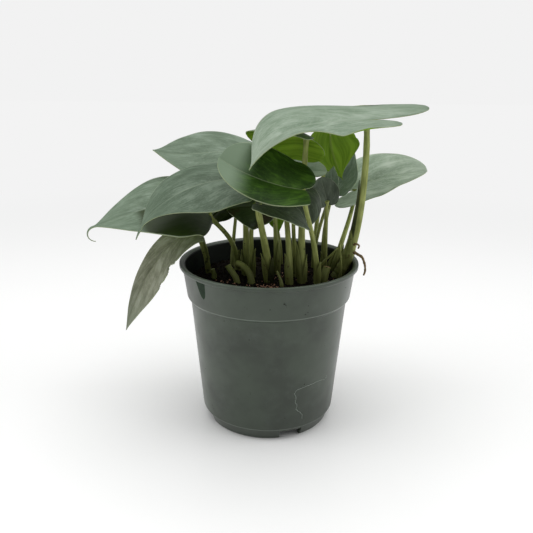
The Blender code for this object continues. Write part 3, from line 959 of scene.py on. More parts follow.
def weld_mesh(thing: bpy.types.Object, distance: float) -> None:
    """Merge the vertices of a mesh that lie close together.

    Args:
        thing: the mesh object.
        distance: the distance within which they merge, in metres.
    """
    work = bmesh.new()
    work.from_mesh(thing.data)
    bmesh.ops.remove_doubles(work, verts=work.verts, dist=distance)
    bmesh.ops.recalc_face_normals(work, faces=work.faces)
    work.to_mesh(thing.data)
    work.free()


def settle(thing: bpy.types.Object) -> None:
    """Turn an object's modifiers into its mesh.

    Args:
        thing: the mesh object.
    """
    graph = bpy.context.evaluated_depsgraph_get()
    mesh = bpy.data.meshes.new_from_object(thing.evaluated_get(graph))
    thing.modifiers.clear()
    thing.data = mesh


def add_crumb(vertices: list[Vector], faces: list[Face], place: Vector, size: float,
              dice: random.Random, flat: float = 0.7) -> None:
    """Add one irregular crumb, a distorted octahedron.

    Args:
        vertices: the list that the crumb's points join.
        faces: the list that its faces join.
        place: its middle.
        size: its radius.
        dice: the random numbers that it takes.
        flat: its height as a share of its width.
    """
    turn = Matrix.Rotation(dice.uniform(0.0, math.tau), 3, "Z") @ Matrix.Rotation(
        dice.uniform(0.0, math.pi), 3, "X")
    long = dice.uniform(0.8, 1.7)
    corners = [Vector((long, 0, 0)), Vector((0, 1, 0)), Vector((-long, 0, 0)),
               Vector((0, -1, 0)), Vector((0, 0, flat)), Vector((0, 0, -flat))]
    start = len(vertices)
    for corner in corners:
        vertices.append(place + turn @ (corner * size * dice.uniform(0.7, 1.25)))
    for a, b in ((0, 1), (1, 2), (2, 3), (3, 0)):
        faces.append((start + a, start + b, start + 4))
        faces.append((start + b, start + a, start + 5))


def running_lengths(points: Sequence[Vector]) -> list[float]:
    """How long a route is up to each of its points.

    Args:
        points: the route.

    Returns:
        One length for each point, from 0.
    """
    lengths = [0.0]
    for a, b in zip(points, points[1:]):
        lengths.append(lengths[-1] + (b - a).length)
    return lengths


def sweep(vertices: list[Vector], faces: list[Face], points: Sequence[Vector],
          radius: Callable[[float], float], sides: int,
          section: Callable[[float, float], float] | None = None,
          uv: list[Pair] | None = None) -> None:
    """Add a closed tube along points.

    Args:
        vertices: the list that the tube's points join.
        faces: the list that its faces join.
        points: the tube's route.
        radius: the radius by the share of the length.
        sides: the number of sides.
        section: how the radius varies by angle and share.
        uv: the list that takes each point's length in decimetres and girth in centimetres.
    """
    side = Vector((1.0, 0.0, 0.0))
    lengths = running_lengths(points)
    start = len(vertices)
    for index, point in enumerate(points):
        direction = (points[min(index + 1, len(points) - 1)]
                     - points[max(index - 1, 0)]).normalized()
        side = (side - direction * side.dot(direction)).normalized()
        other = direction.cross(side)
        share = lengths[index] / lengths[-1]
        size = radius(share)
        for step in range(sides):
            angle = math.tau * step / sides
            reach = size * (section(angle, share) if section else 1.0)
            vertices.append(point + (side * math.cos(angle) + other * math.sin(angle)) * reach)
            if uv is not None:
                around = min(step, sides - step) / sides * math.tau * size
                uv.append((lengths[index] / 100.0, around / 10.0))
    faces.append(tuple(range(start + sides - 1, start - 1, -1)))
    for ring in range(len(points) - 1):
        for step in range(sides):
            a = start + ring * sides + step
            b = start + ring * sides + (step + 1) % sides
            faces.append((a, b, b + sides, a + sides))
    last = start + (len(points) - 1) * sides
    faces.append(tuple(range(last, last + sides)))


def bezier(start: Vector, first: Vector, last: Vector, end: Vector, steps: int) -> list[Vector]:
    """Points along a cubic curve.

    Args:
        start: where it begins.
        first: the handle that it sets off towards.
        last: the handle that it comes in from.
        end: where it ends.
        steps: the number of stretches between the points.

    Returns:
        The points, with both ends.
    """
    points = []
    for number in range(steps + 1):
        t = number / steps
        r = 1.0 - t
        points.append(start * r ** 3 + first * (3 * r * r * t) + last * (3 * r * t * t)
                      + end * t ** 3)
    return points


def smooth_route(points: Sequence[Vector], steps: int) -> list[Vector]:
    """A smooth curve through points (Catmull-Rom).

    Args:
        points: the points that it passes.
        steps: the number of stretches from one to the next.

    Returns:
        The curve's points.
    """
    ends = [points[0] * 2 - points[1], *points, points[-1] * 2 - points[-2]]
    route = []
    for a, b, c, d in zip(ends, ends[1:], ends[2:], ends[3:]):
        for step in range(steps):
            t = step / steps
            route.append(0.5 * (2 * b + (c - a) * t + (2 * a - 5 * b + 4 * c - d) * t * t
                                + (3 * b - a - 3 * c + d) * t ** 3))
    route.append(points[-1].copy())
    return route


# ---------------------------------------------------------------------------------------------
# The potting mix
# ---------------------------------------------------------------------------------------------


@dataclass(frozen=True)
class MixShape:
    """The potting mix's sizes.

    gap is the room between the plug and the pot, and bevel how much narrower the plug is at its
    bottom. The surface is level up to level_radius and sinks by sink over the next sink_run.
    """

    top: float = 94.0
    gap: float = 0.35
    bevel: float = 1.9
    level_radius: float = 44.0
    sink: float = 1.7
    sink_run: float = 8.0
    rings: int = 44
    spokes: int = 132
    roughness: float = 0.9
    crumbs: int = 1500
    chips: int = 190


class PottingMix:
    """The plug of peat with crumbs and bark chips on it."""

    def __init__(self, shape: MixShape, pot: PotShape, palette: Palette, origin: Vector) -> None:
        """Keep what the mix is made from.

        Args:
            shape: the mix's sizes.
            pot: the sizes of the pot that it fills.
            palette: the materials.
            origin: the pot's axis in the frame.
        """
        self.shape = shape
        self.pot = pot
        self.palette = palette
        self.origin = origin

    def surface(self, x: float, y: float) -> float:
        """The height of the mix, which is low at the wall and uneven.

        Args:
            x: the place to the right of the pot's axis.
            y: the place behind it.

        Returns:
            The height over the foot.
        """
        shape = self.shape
        reach = math.hypot(x, y)
        sink = shape.sink * max(0.0, (reach - shape.level_radius) / shape.sink_run) ** 1.5
        # Swells 11 mm wide and bumps of 2 mm.
        broad = noise.noise(Vector((x * 0.09, y * 0.09, 3.0))) * 0.9
        fine = noise.noise(Vector((x * 0.55, y * 0.55, 7.0))) * 0.45
        return shape.top - sink + broad * 0.8 + fine * shape.roughness - 0.2

    def build(self) -> list[bpy.types.Object]:
        """Build every piece of the mix.

        Returns:
            The plug, the crumbs all over it and the chips, which lie in a few drifts.
        """
        plug = self._plug()
        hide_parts("potting_mix")
        crumbs = self._scatter("mix_crumbs", self.palette.crumb, self.shape.crumbs, seed=21,
                               small=0.35, large=1.25)
        drifts = ((-3.0, -20.0, 9.0), (3.0, -21.0, 6.0), (45.0, -5.0, 5.0),
                  (-28.0, -12.0, 12.0), (12.0, 0.0, 18.0))
        chips = self._scatter("bark_chips", self.palette.bark, self.shape.chips, seed=8,
                              small=0.35, large=0.85, drifts=drifts)
        return [plug, crumbs, chips]

    def _plug(self) -> bpy.types.Object:
        """The plug, with an uneven top and the pot's inside below it.

        Returns:
            The piece.
        """
        shape, pot = self.shape, self.pot
        edge = pot.inner_radius(shape.top - 2.0) - shape.gap
        tuck = pot.collar_bottom - pot.collar_tuck
        curve = pot.floor_top + pot.floor_curve
        # The rings' radii, with a height where the ring doesn't lie on the surface.
        rows: list[tuple[float, float | None]] = [
            (edge * ring / shape.rings, None) for ring in range(1, shape.rings + 1)]
        rows += [(pot.inner_radius(pot.collar_bottom) - 2.0 * shape.gap, pot.collar_bottom + 0.6),
                 (pot.inner_radius(tuck) - shape.gap, tuck),
                 (pot.inner_radius(curve) - shape.gap, curve + 0.7),
                 (pot.inner_radius(pot.floor_top) - shape.bevel, pot.floor_top + shape.gap)]
        vertices = [Vector((0.0, 0.0, self.surface(0.0, 0.0)))]
        for reach, height in rows:
            for spoke in range(shape.spokes):
                angle = math.tau * spoke / shape.spokes
                x, y = reach * math.cos(angle), reach * math.sin(angle)
                vertices.append(Vector((x, y, self.surface(x, y) if height is None else height)))
        faces: list[Face] = []
        for spoke in range(shape.spokes):
            faces.append((0, 1 + spoke, 1 + (spoke + 1) % shape.spokes))
        for ring in range(len(rows) - 1):
            start = 1 + ring * shape.spokes
            for spoke in range(shape.spokes):
                after = (spoke + 1) % shape.spokes
                faces.append((start + spoke, start + spoke + shape.spokes,
                              start + after + shape.spokes, start + after))
        last = len(vertices) - shape.spokes
        faces.append(tuple(range(len(vertices) - 1, last - 1, -1)))
        return mesh_piece("potting_mix_plug", vertices, faces, [self.palette.mix], self.origin)

    def _scatter(self, name: str, material: bpy.types.Material, count: int, seed: int,
                 small: float, large: float, drifts: Sequence[Point] = ()
                 ) -> bpy.types.Object:
        """Scatter crumbs over the mix.

        Args:
            name: the piece's name.
            material: the crumbs' material.
            count: how many there are.
            seed: where their random numbers start.
            small: the smallest radius.
            large: the largest radius.
            drifts: places (x, y, spread) around which they lie; without them they lie evenly.

        Returns:
            The piece.
        """
        dice = random.Random(seed)
        limit = self.pot.inner_radius(self.shape.top) - 1.4
        vertices: list[Vector] = []
        faces: list[Face] = []
        made = 0
        while made < count:
            if drifts:
                x0, y0, spread = drifts[dice.randrange(len(drifts))]
                x, y = dice.gauss(x0, spread * 0.6), dice.gauss(y0, spread * 0.35)
            else:
                reach, angle = limit * math.sqrt(dice.random()), dice.uniform(0.0, math.tau)
                x, y = reach * math.cos(angle), reach * math.sin(angle)
            if math.hypot(x, y) > limit:
                continue
            size = dice.uniform(small, large) * dice.uniform(0.6, 1.0)
            place = Vector((x, y, self.surface(x, y) + 0.35 * size))
            add_crumb(vertices, faces, place, size, dice)
            made += 1
        piece = mesh_piece(name, vertices, faces, [material], self.origin)
        piece.data.shade_flat()
        return piece


# ---------------------------------------------------------------------------------------------
# Leaves
# ---------------------------------------------------------------------------------------------


@dataclass(frozen=True)
class LeafShape:
    """One heart-shaped blade, hung on a midrib that is one smooth curve.

    seat is where the petiole meets the blade and tip is where the blade ends. leave is how the
    midrib sets off from the seat and arrive how it comes in at the tip, each as a handle of the
    curve. facing is the compass direction from which left and right are told, in degrees from +X
    towards +Y, for a midrib that stands upright; the others take it from seat and tip. roll tips
    the blade to its right, at the base and at the tip. lobe is how far the two round lobes reach
    back past the petiole. fold lifts both halves like a V, and curl bends the left and the right
    edge down (negative: up). bluntness rounds the tip, lean and skew make the right half wider
    and its lobe longer, hook is the length and turn of a drawn-out tip, and wave ripples the
    margin.
    """

    name: str
    seat: Point
    tip: Point
    leave: Point
    arrive: Point
    width: float
    roll: Pair = (0.0, 0.0)
    lobe: float = 10.0
    facing: float | None = None
    skew: float = 0.0
    fold: Pair = (10.0, 10.0)
    curl: Pair = (20.0, 20.0)
    bluntness: float = 1.15
    lean: float = 0.0
    hook: Pair = (0.0, 0.0)
    tone: Tone = Tone.SILVER
    wave: float = 0.4
    tears: tuple[Point, ...] = ()


class Leaf:
    """A thin blade with a groove along its midrib, raised veins and a soft margin."""

    thickness = 0.45
    groove_depth = 0.5
    groove_width = 0.9
    vein_height = 0.05
    rows = 56
    columns = 40
    steps = 80
    fine_steps = 400
    hook_steps = 16
    widest_at = 0.32
    base_share = 0.88
    lobe_centre = 0.42

    def __init__(self, shape: LeafShape, seed: int, palette: Palette, origin: Vector) -> None:
        """Keep what the leaf is made from, and walk along its midrib once.

        Args:
            shape: the leaf's sizes.
            seed: a number that gives each leaf its own mottling and ripples.
            palette: the materials.
            origin: the pot's axis in the frame.
        """
        self.shape = shape
        self.seed = seed
        self.palette = palette
        self.origin = origin
        facing = shape.facing
        if facing is None:
            facing = math.degrees(math.atan2(shape.tip[1] - shape.seat[1],
                                             shape.tip[0] - shape.seat[0]))
        facing = math.radians(facing)
        self.right = Vector((math.sin(facing), -math.cos(facing), 0.0))
        self.route = self._walk()
        self.length = self.step * self.steps
        self.whole = self.length + shape.hook[0]
        self.route += self._drawn_out()

    def _walk(self) -> list[Vector]:
        """Walk from the seat to the end of the blade.

        Returns:
            Places at equal distances along the midrib.
        """
        shape = self.shape
        seat, tip = Vector(shape.seat), Vector(shape.tip)
        first, last = seat + Vector(shape.leave), tip - Vector(shape.arrive)
        line = bezier(seat, first, last, tip, self.fine_steps)
        lengths = running_lengths(line)
        self.step = lengths[-1] / self.steps
        route = [line[0]]
        index = 0
        for number in range(1, self.steps):
            while lengths[index + 1] < number * self.step:
                index += 1
            part = (number * self.step - lengths[index]) / (lengths[index + 1] - lengths[index])
            route.append(line[index].lerp(line[index + 1], part))
        return route + [line[-1]]

    def _drawn_out(self) -> list[Vector]:
        """Walk on along the hook, which turns ever further down.

        Returns:
            Places at the same distances beyond the end of the blade.
        """
        length, turn = self.shape.hook
        count = round(length / self.step)
        place = self.route[-1]
        ahead = (self.route[-1] - self.route[-2]).normalized()
        aside = (self.right - ahead * self.right.dot(ahead)).normalized()
        down = ahead.cross(aside)
        places = []
        for number in range(count):
            angle = math.radians(turn) * (number + 0.5) / count
            place = place + (ahead * math.cos(angle) + down * math.sin(angle)) * self.step
            places.append(place)
        return places

    def _frame(self, distance: float) -> tuple[Vector, Vector, Vector]:
        """The blade's directions at a place of the midrib.

        Args:
            distance: how far the place is from the seat.

        Returns:
            The directions along the midrib, to the right and out of the upper side.
        """
        last = len(self.route) - 2
        exact = min(max(distance / self.step - 0.5, 0.0), last)
        index = min(int(exact), last - 1)
        before = self.route[index + 1] - self.route[index]
        after = self.route[index + 2] - self.route[index + 1]
        along = before.lerp(after, exact - index).normalized()
        level = (self.right - along * self.right.dot(along)).normalized()
        share = min(max(distance / self.length, 0.0), 1.0)
        roll = math.radians(self.shape.roll[0] * (1.0 - share) + self.shape.roll[1] * share)
        upper = level.cross(along) * math.cos(roll) + level * math.sin(roll)
        return along, along.cross(upper), upper

    def _place(self, distance: float) -> Vector:
        """A place of the midrib, or of its straight extension behind the seat.

        Args:
            distance: how far the place is from the seat, negative behind it.

        Returns:
            The place.
        """
        if distance <= 0.0:
            return self.route[0] + self._frame(0.0)[0] * distance
        index = min(int(distance / self.step), len(self.route) - 2)
        return self.route[index].lerp(self.route[index + 1],
                                      min(1.0, distance / self.step - index))

    def half_width(self, share: float) -> float:
        """Half of the blade's width.

        Args:
            share: the share of the blade's length, above 1 in the hook.

        Returns:
            The half width.
        """
        full = 1.0
        if share < self.widest_at:
            full = self.base_share + (1.0 - self.base_share) * math.sin(
                0.5 * math.pi * share / self.widest_at)
        elif share < 1.0:
            rest = (share - self.widest_at) / (1.0 - self.widest_at)
            full = (1.0 - rest ** 1.75) ** self.shape.bluntness
        point = 0.9 if self.shape.hook[0] else 0.15
        if share < 1.0:
            return max(0.5 * self.shape.width * full, point)
        past = (share - 1.0) * self.length / max(self.shape.hook[0], 1.0)
        return point * (1.0 - past) + 0.12 * past

    def lobe_share(self, reach: float) -> float:
        """How far a lobe's round nose reaches back.

        Args:
            reach: the share of the half width.

        Returns:
            A share of the lobe's length.
        """
        centre = self.lobe_centre
        size = centre if reach < centre else 1.0 - centre
        return math.sqrt(max(0.0, 1.0 - ((reach - centre) / size) ** 2))

    def relief(self, share: float, side: float, out: float) -> float:
        """How far the groove, the veins and the waves lift the blade.

        Args:
            share: the share of the blade's length.
            side: the share of its half width, negative to the left.
            out: the distance from the midrib.

        Returns:
            The height over the smooth blade.
        """
        fade = max(0.0, 1.0 - share)
        groove = -self.groove_depth * math.exp(-((out / self.groove_width) ** 2)) * min(
            1.0, 3.0 * fade)
        phase = self.seed * 1.7
        veins = self.vein_height * math.sin(
            34.0 * (abs(side) - 0.9 * share)
            + 2.0 * noise.noise(Vector((share * 3.0, side * 2.0, phase)))) * min(1.0, 4.0 * fade)
        swell = noise.noise(Vector((share * 3.2, side * 1.6, phase + 5.0))) * 1.3
        ripple = math.sin(share * 11.0 + phase + (1.5 if side > 0 else 0.0)) * abs(side) ** 3
        return groove + veins + self.shape.wave * (swell * abs(side)
                                                   + ripple) * min(1.0, 3.0 * fade)

    def point(self, share: float, side: float) -> Vector:
        """A point of the blade.

        Args:
            share: the share of the blade's length.
            side: the share of its half width, negative to the left.

        Returns:
            The point.
        """
        shape = self.shape
        reach = abs(side)
        sign = math.copysign(1.0, side)
        back = (shape.lobe * (1.0 + shape.skew * sign) * max(0.0, 1.0 - share) ** 3
                * self.lobe_share(reach))
        distance = share * self.length - back
        _, across, upper = self._frame(distance)
        out = self.half_width(share) * reach * (1.0 + shape.lean * sign)
        even = min(max(share, 0.0), 1.0)
        lift = math.radians(shape.fold[0] * (1.0 - even) + shape.fold[1] * even)
        bend = math.radians(shape.curl[1 if side > 0 else 0]) / (0.5 * shape.width)
        bend = bend if abs(bend) > 1e-6 else 1e-6
        angle = lift - bend * out
        sideways = (math.sin(lift) - math.sin(angle)) / bend
        upward = (math.cos(angle) - math.cos(lift)) / bend
        risen = self.relief(share, side, out)
        return (self._place(distance) + across * sign * (sideways - risen * math.sin(angle))
                + upper * (upward + risen * math.cos(angle)))

    def shares(self) -> list[float]:
        """The rows of the blade and of its hook.

        Returns:
            The rows' shares of the blade's length, above 1 in the hook.
        """
        shares = [(row / self.rows) ** 0.9 for row in range(self.rows + 1)]
        if self.shape.hook[0]:
            past = self.whole / self.length - 1.0
            shares += [1.0 + past * row / self.hook_steps
                       for row in range(1, self.hook_steps + 1)]
        return shares

    def build(self) -> bpy.types.Object:
        """Build the blade.

        Returns:
            The blade, which stands for the CAD leaf of its name.
        """
        shape = self.shape
        shares = self.shares()
        vertices: list[Vector] = []
        blade: list[Pair] = []
        margin: list[Pair] = []
        for share in shares:
            for j in range(self.columns + 1):
                t = 2.0 * j / self.columns - 1.0
                side = math.copysign(1.0 - (1.0 - abs(t)) ** 1.15, t)
                vertices.append(self.point(share, side))
                along = share * self.length
                vein = abs(side) * 0.5 * shape.width - 0.35 * along
                blade.append((along / 100.0 + self.seed,
                              vein / 100.0 + math.copysign(3.0, side) + self.seed))
                margin.append((min(share, 1.0), 0.5 + 0.5 * side))
        stride = self.columns + 1
        faces = []
        for i in range(len(shares) - 1):
            for j in range(self.columns):
                if self._torn(0.5 * (shares[i] + shares[i + 1]),
                              2.0 * (j + 0.5) / self.columns - 1.0):
                    continue
                a = i * stride + j
                faces.append((a, a + 1, a + 1 + stride, a + stride))
        under = {Tone.AGEING: self.palette.ageing_under, Tone.DUSK: self.palette.painted_shade_under,
                 Tone.BLOTCHED: self.palette.painted_shade_under}.get(shape.tone, self.palette.under)
        materials = [self.palette.upper[shape.tone], under, self.palette.margin]
        piece = mesh_piece(shape.name + "_blade", vertices, faces, materials, self.origin)
        set_uv(piece, "blade", blade)
        set_uv(piece, "margin", margin)
        shell = piece.modifiers.new("blade_thickness", "SOLIDIFY")
        shell.thickness = self.thickness * MM
        shell.offset = 0.0
        shell.material_offset = 1
        shell.material_offset_rim = 2
        settle(piece)
        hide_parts(shape.name)
        return piece

    def _torn(self, share: float, side: float) -> bool:
        """Whether a cell of the blade is missing, at its share of the length and its side."""
        return any(abs(share - s) < 0.012 + size * max(0.0, abs(side) - abs(edge))
                   and side * edge > 0 and abs(side) > abs(edge)
                   for s, edge, size in self.shape.tears)


# ---------------------------------------------------------------------------------------------
# Stems, sheaths and roots
# ---------------------------------------------------------------------------------------------


class StemKind(Enum):
    """What a stem is."""

    PETIOLE = "petiole"
    STUB = "stub"
    SHOOT = "shoot"
    ROOT = "root"


@dataclass(frozen=True)
class StemShape:
    """One stem: its foot on the mix, its radii and its leaf or its own tip.

    bow pushes the lower part sideways, knee is the share of the height where it turns towards its
    upper end, and shoulder the share where it straightens into it. A root lists its own route.
    """

    name: str
    foot: Pair
    base_radius: float
    top_radius: float
    leaf: str = ""
    tip: Point = (0.0, 0.0, 0.0)
    bow: Pair = (0.0, 0.0)
    knee: float = 0.4
    shoulder: float = 0.75
    kind: StemKind = StemKind.PETIOLE
    spotted: bool = False
    rings: tuple[float, ...] = ()
    route: tuple[Point, ...] = ()


@dataclass(frozen=True)
class SheathShape:
    """A thin sheath that wraps a stem and ends in a point.

    top is the height of its tip. turn is the direction that its back faces, in degrees around Z,
    and half_angle how far it wraps to each side. lean is how far its tip stands off the stem, and
    swell how far its middle does. Most sheaths start just inside the mix, at bottom.
    """

    name: str
    stem: str
    top: float
    turn: float
    half_angle: float
    lean: float
    swell: float = 0.5
    bottom: float = 93.0
    dry: bool = False
    squared: bool = False


class Stem:
    """A stalk with a shallow channel, fine ridges and rings where a leaf once grew."""

    sides = 20
    steps = 30
    buried = 3.0
    under_blade = 0.35

    def __init__(self, shape: StemShape, leaves: dict[str, Leaf], mix: PottingMix,
                 palette: Palette, origin: Vector) -> None:
        """Keep what the stem is made from, and lay its route.

        Args:
            shape: the stem's sizes.
            leaves: all the leaves, by name.
            mix: the mix that it stands in.
            palette: the materials.
            origin: the pot's axis in the frame.
        """
        self.shape = shape
        self.leaves = leaves
        self.mix = mix
        self.palette = palette
        self.origin = origin
        self.route = self._route()
        self.lengths = running_lengths(self.route)

    def _route(self) -> list[Vector]:
        """Lay the stem's middle line.

        Returns:
            Its points, from just inside the mix to just under the blade.
        """
        shape = self.shape
        if shape.kind is StemKind.ROOT:
            return smooth_route([Vector(p) for p in shape.route], 10)
        x, y = shape.foot
        top = self.mix.shape.top
        foot = Vector((x, y, top))
        end = Vector(shape.tip)
        if shape.leaf:
            end = Vector(self.leaves[shape.leaf].shape.seat)
        rise = end.z - top
        knee = Vector((x + shape.bow[0], y + shape.bow[1], top + shape.knee * rise))
        shoulder = end.lerp(foot, 0.25) + Vector((*shape.bow, 0.0)) * 0.5
        shoulder.z = top + shape.shoulder * rise
        line = [Vector((x, y, top - self.buried))]
        line += bezier(foot, knee, shoulder, end, self.steps)
        if shape.leaf:
            line[-1] -= (line[-1] - line[-2]).normalized() * self.under_blade
        return line

    def radius(self, share: float) -> float:
        """The stem's radius, with the swelling under a leaf, the rings and a root's knots.

        Args:
            share: the share of the stem's length.

        Returns:
            The radius.
        """
        shape = self.shape
        size = shape.top_radius + (shape.base_radius - shape.top_radius) * (1.0 - share) ** 1.4
        if shape.leaf:
            size *= 1.0 + 0.55 * max(0.0, (share - 0.93) / 0.07) ** 1.5
            size *= 1.0 + 0.12 * math.exp(-(((share - 0.86) / 0.05) ** 2))
        for ring in shape.rings:
            size *= 1.0 + 0.14 * math.exp(-(((share - ring) / 0.012) ** 2))
        if shape.kind is StemKind.ROOT:
            size *= 1.0 + 0.18 * math.sin(share * 37.0) * math.sin(share * 13.0 + 1.0)
        return size

    def at_height(self, height: float) -> tuple[Vector, Vector, float]:
        """Where the stem passes a height.

        Args:
            height: the height over the pot's foot.

        Returns:
            The stem's middle, its direction and its radius there, or at its end if it is lower.
        """
        for index in range(len(self.route) - 1):
            a, b = self.route[index], self.route[index + 1]
            if a.z <= height <= b.z:
                share = (height - a.z) / max(b.z - a.z, 1e-6)
                length = self.lengths[index] + share * (b - a).length
                return a.lerp(b, share), (b - a).normalized(), self.radius(
                    length / self.lengths[-1])
        last = self.route[-1]
        return last, (last - self.route[-2]).normalized(), self.radius(1.0)

    def _section(self, angle: float, share: float) -> float:
        """The stem's section, with a channel, fine ridges and a wider foot.

        Args:
            angle: the direction around the stem, in radians.
            share: the share of the stem's length.

        Returns:
            The reach there as a share of the radius.
        """
        if self.shape.kind is StemKind.ROOT:
            return 1.0 + 0.06 * math.sin(3.0 * angle + 20.0 * share)
        channel = 0.16 * math.exp(-(((angle - 3.4) / 0.45) ** 2))
        flare = 0.16 * max(0.0, 1.0 - share / 0.25) * math.cos(angle + 0.6) ** 2
        return 1.0 - channel + 0.025 * math.sin(7.0 * angle) + flare

    def build(self) -> bpy.types.Object:
        """Build the stem.

        Returns:
            The stalk, which stands for the CAD stem of its name.
        """
        shape = self.shape
        vertices: list[Vector] = []
        faces: list[Face] = []
        uv: list[Pair] = []
        sweep(vertices, faces, self.route, self.radius, self.sides, self._section, uv)
        if shape.kind is StemKind.ROOT:
            material = self.palette.root
        else:
            material = self.palette.spotted_stem if shape.spotted else self.palette.stem
        piece = mesh_piece(shape.name + "_stalk", vertices, faces, [material, self.palette.cut],
                           self.origin)
        set_uv(piece, "run", uv)
        if shape.kind is StemKind.STUB:
            piece.data.polygons[-1].material_index = 1
        piece.data.set_sharp_from_angle(angle=math.radians(60.0))
        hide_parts(shape.name)
        return piece


class Sheath:
    """A thin wrapping sheath on a stem."""

    rows = 26
    columns = 18
    thickness = 0.35
    gap = 0.3

    def __init__(self, shape: SheathShape, stem: Stem, palette: Palette, origin: Vector) -> None:
        """Keep what the sheath is made from.

        Args:
            shape: the sheath's sizes.
            stem: the stem that it wraps.
            palette: the materials.
            origin: the pot's axis in the frame.
        """
        self.shape = shape
        self.stem = stem
        self.palette = palette
        self.origin = origin

    def build(self) -> bpy.types.Object:
        """Build the sheath as a curved sheet with a thickness.

        Returns:
            The piece.
        """
        shape = self.shape
        turn = math.radians(shape.turn)
        vertices: list[Vector] = []
        uv: list[Pair] = []
        for i in range(self.rows + 1):
            t = i / self.rows
            height = shape.bottom + (shape.top - shape.bottom) * t
            place, direction, radius = self.stem.at_height(height)
            narrow = 1.0 - (t ** 3.5) * 0.35 if shape.squared else (1.0 - t ** 2.4) ** 0.7
            half = math.radians(shape.half_angle) * max(narrow, 0.03)
            away = Vector((math.cos(turn), math.sin(turn), 0.0))
            away = (away - direction * away.dot(direction)).normalized()
            other = direction.cross(away)
            reach = radius + self.gap + shape.swell * math.sin(math.pi * min(1.0, t * 1.1)) ** 2
            for j in range(self.columns + 1):
                s = 2.0 * j / self.columns - 1.0
                angle = half * s
                spread = reach + shape.lean * t * t + 0.35 * abs(s) ** 3 * (1.0 - t)
                vertices.append(place + (away * math.cos(angle) + other * math.sin(angle))
                                * spread)
                uv.append((height / 100.0, s * 0.25 + 0.3))
        stride = self.columns + 1
        faces = [(i * stride + j, (i + 1) * stride + j, (i + 1) * stride + j + 1,
                  i * stride + j + 1) for i in range(self.rows) for j in range(self.columns)]
        material = self.palette.dry_sheath if shape.dry else self.palette.sheath
        piece = mesh_piece(shape.name, vertices, faces, [material], self.origin)
        set_uv(piece, "run", uv)
        shell = piece.modifiers.new("sheath_thickness", "SOLIDIFY")
        shell.thickness = self.thickness * MM
        shell.offset = 0.0
        settle(piece)
        return piece


# ---------------------------------------------------------------------------------------------
# The plant's tables
# ---------------------------------------------------------------------------------------------

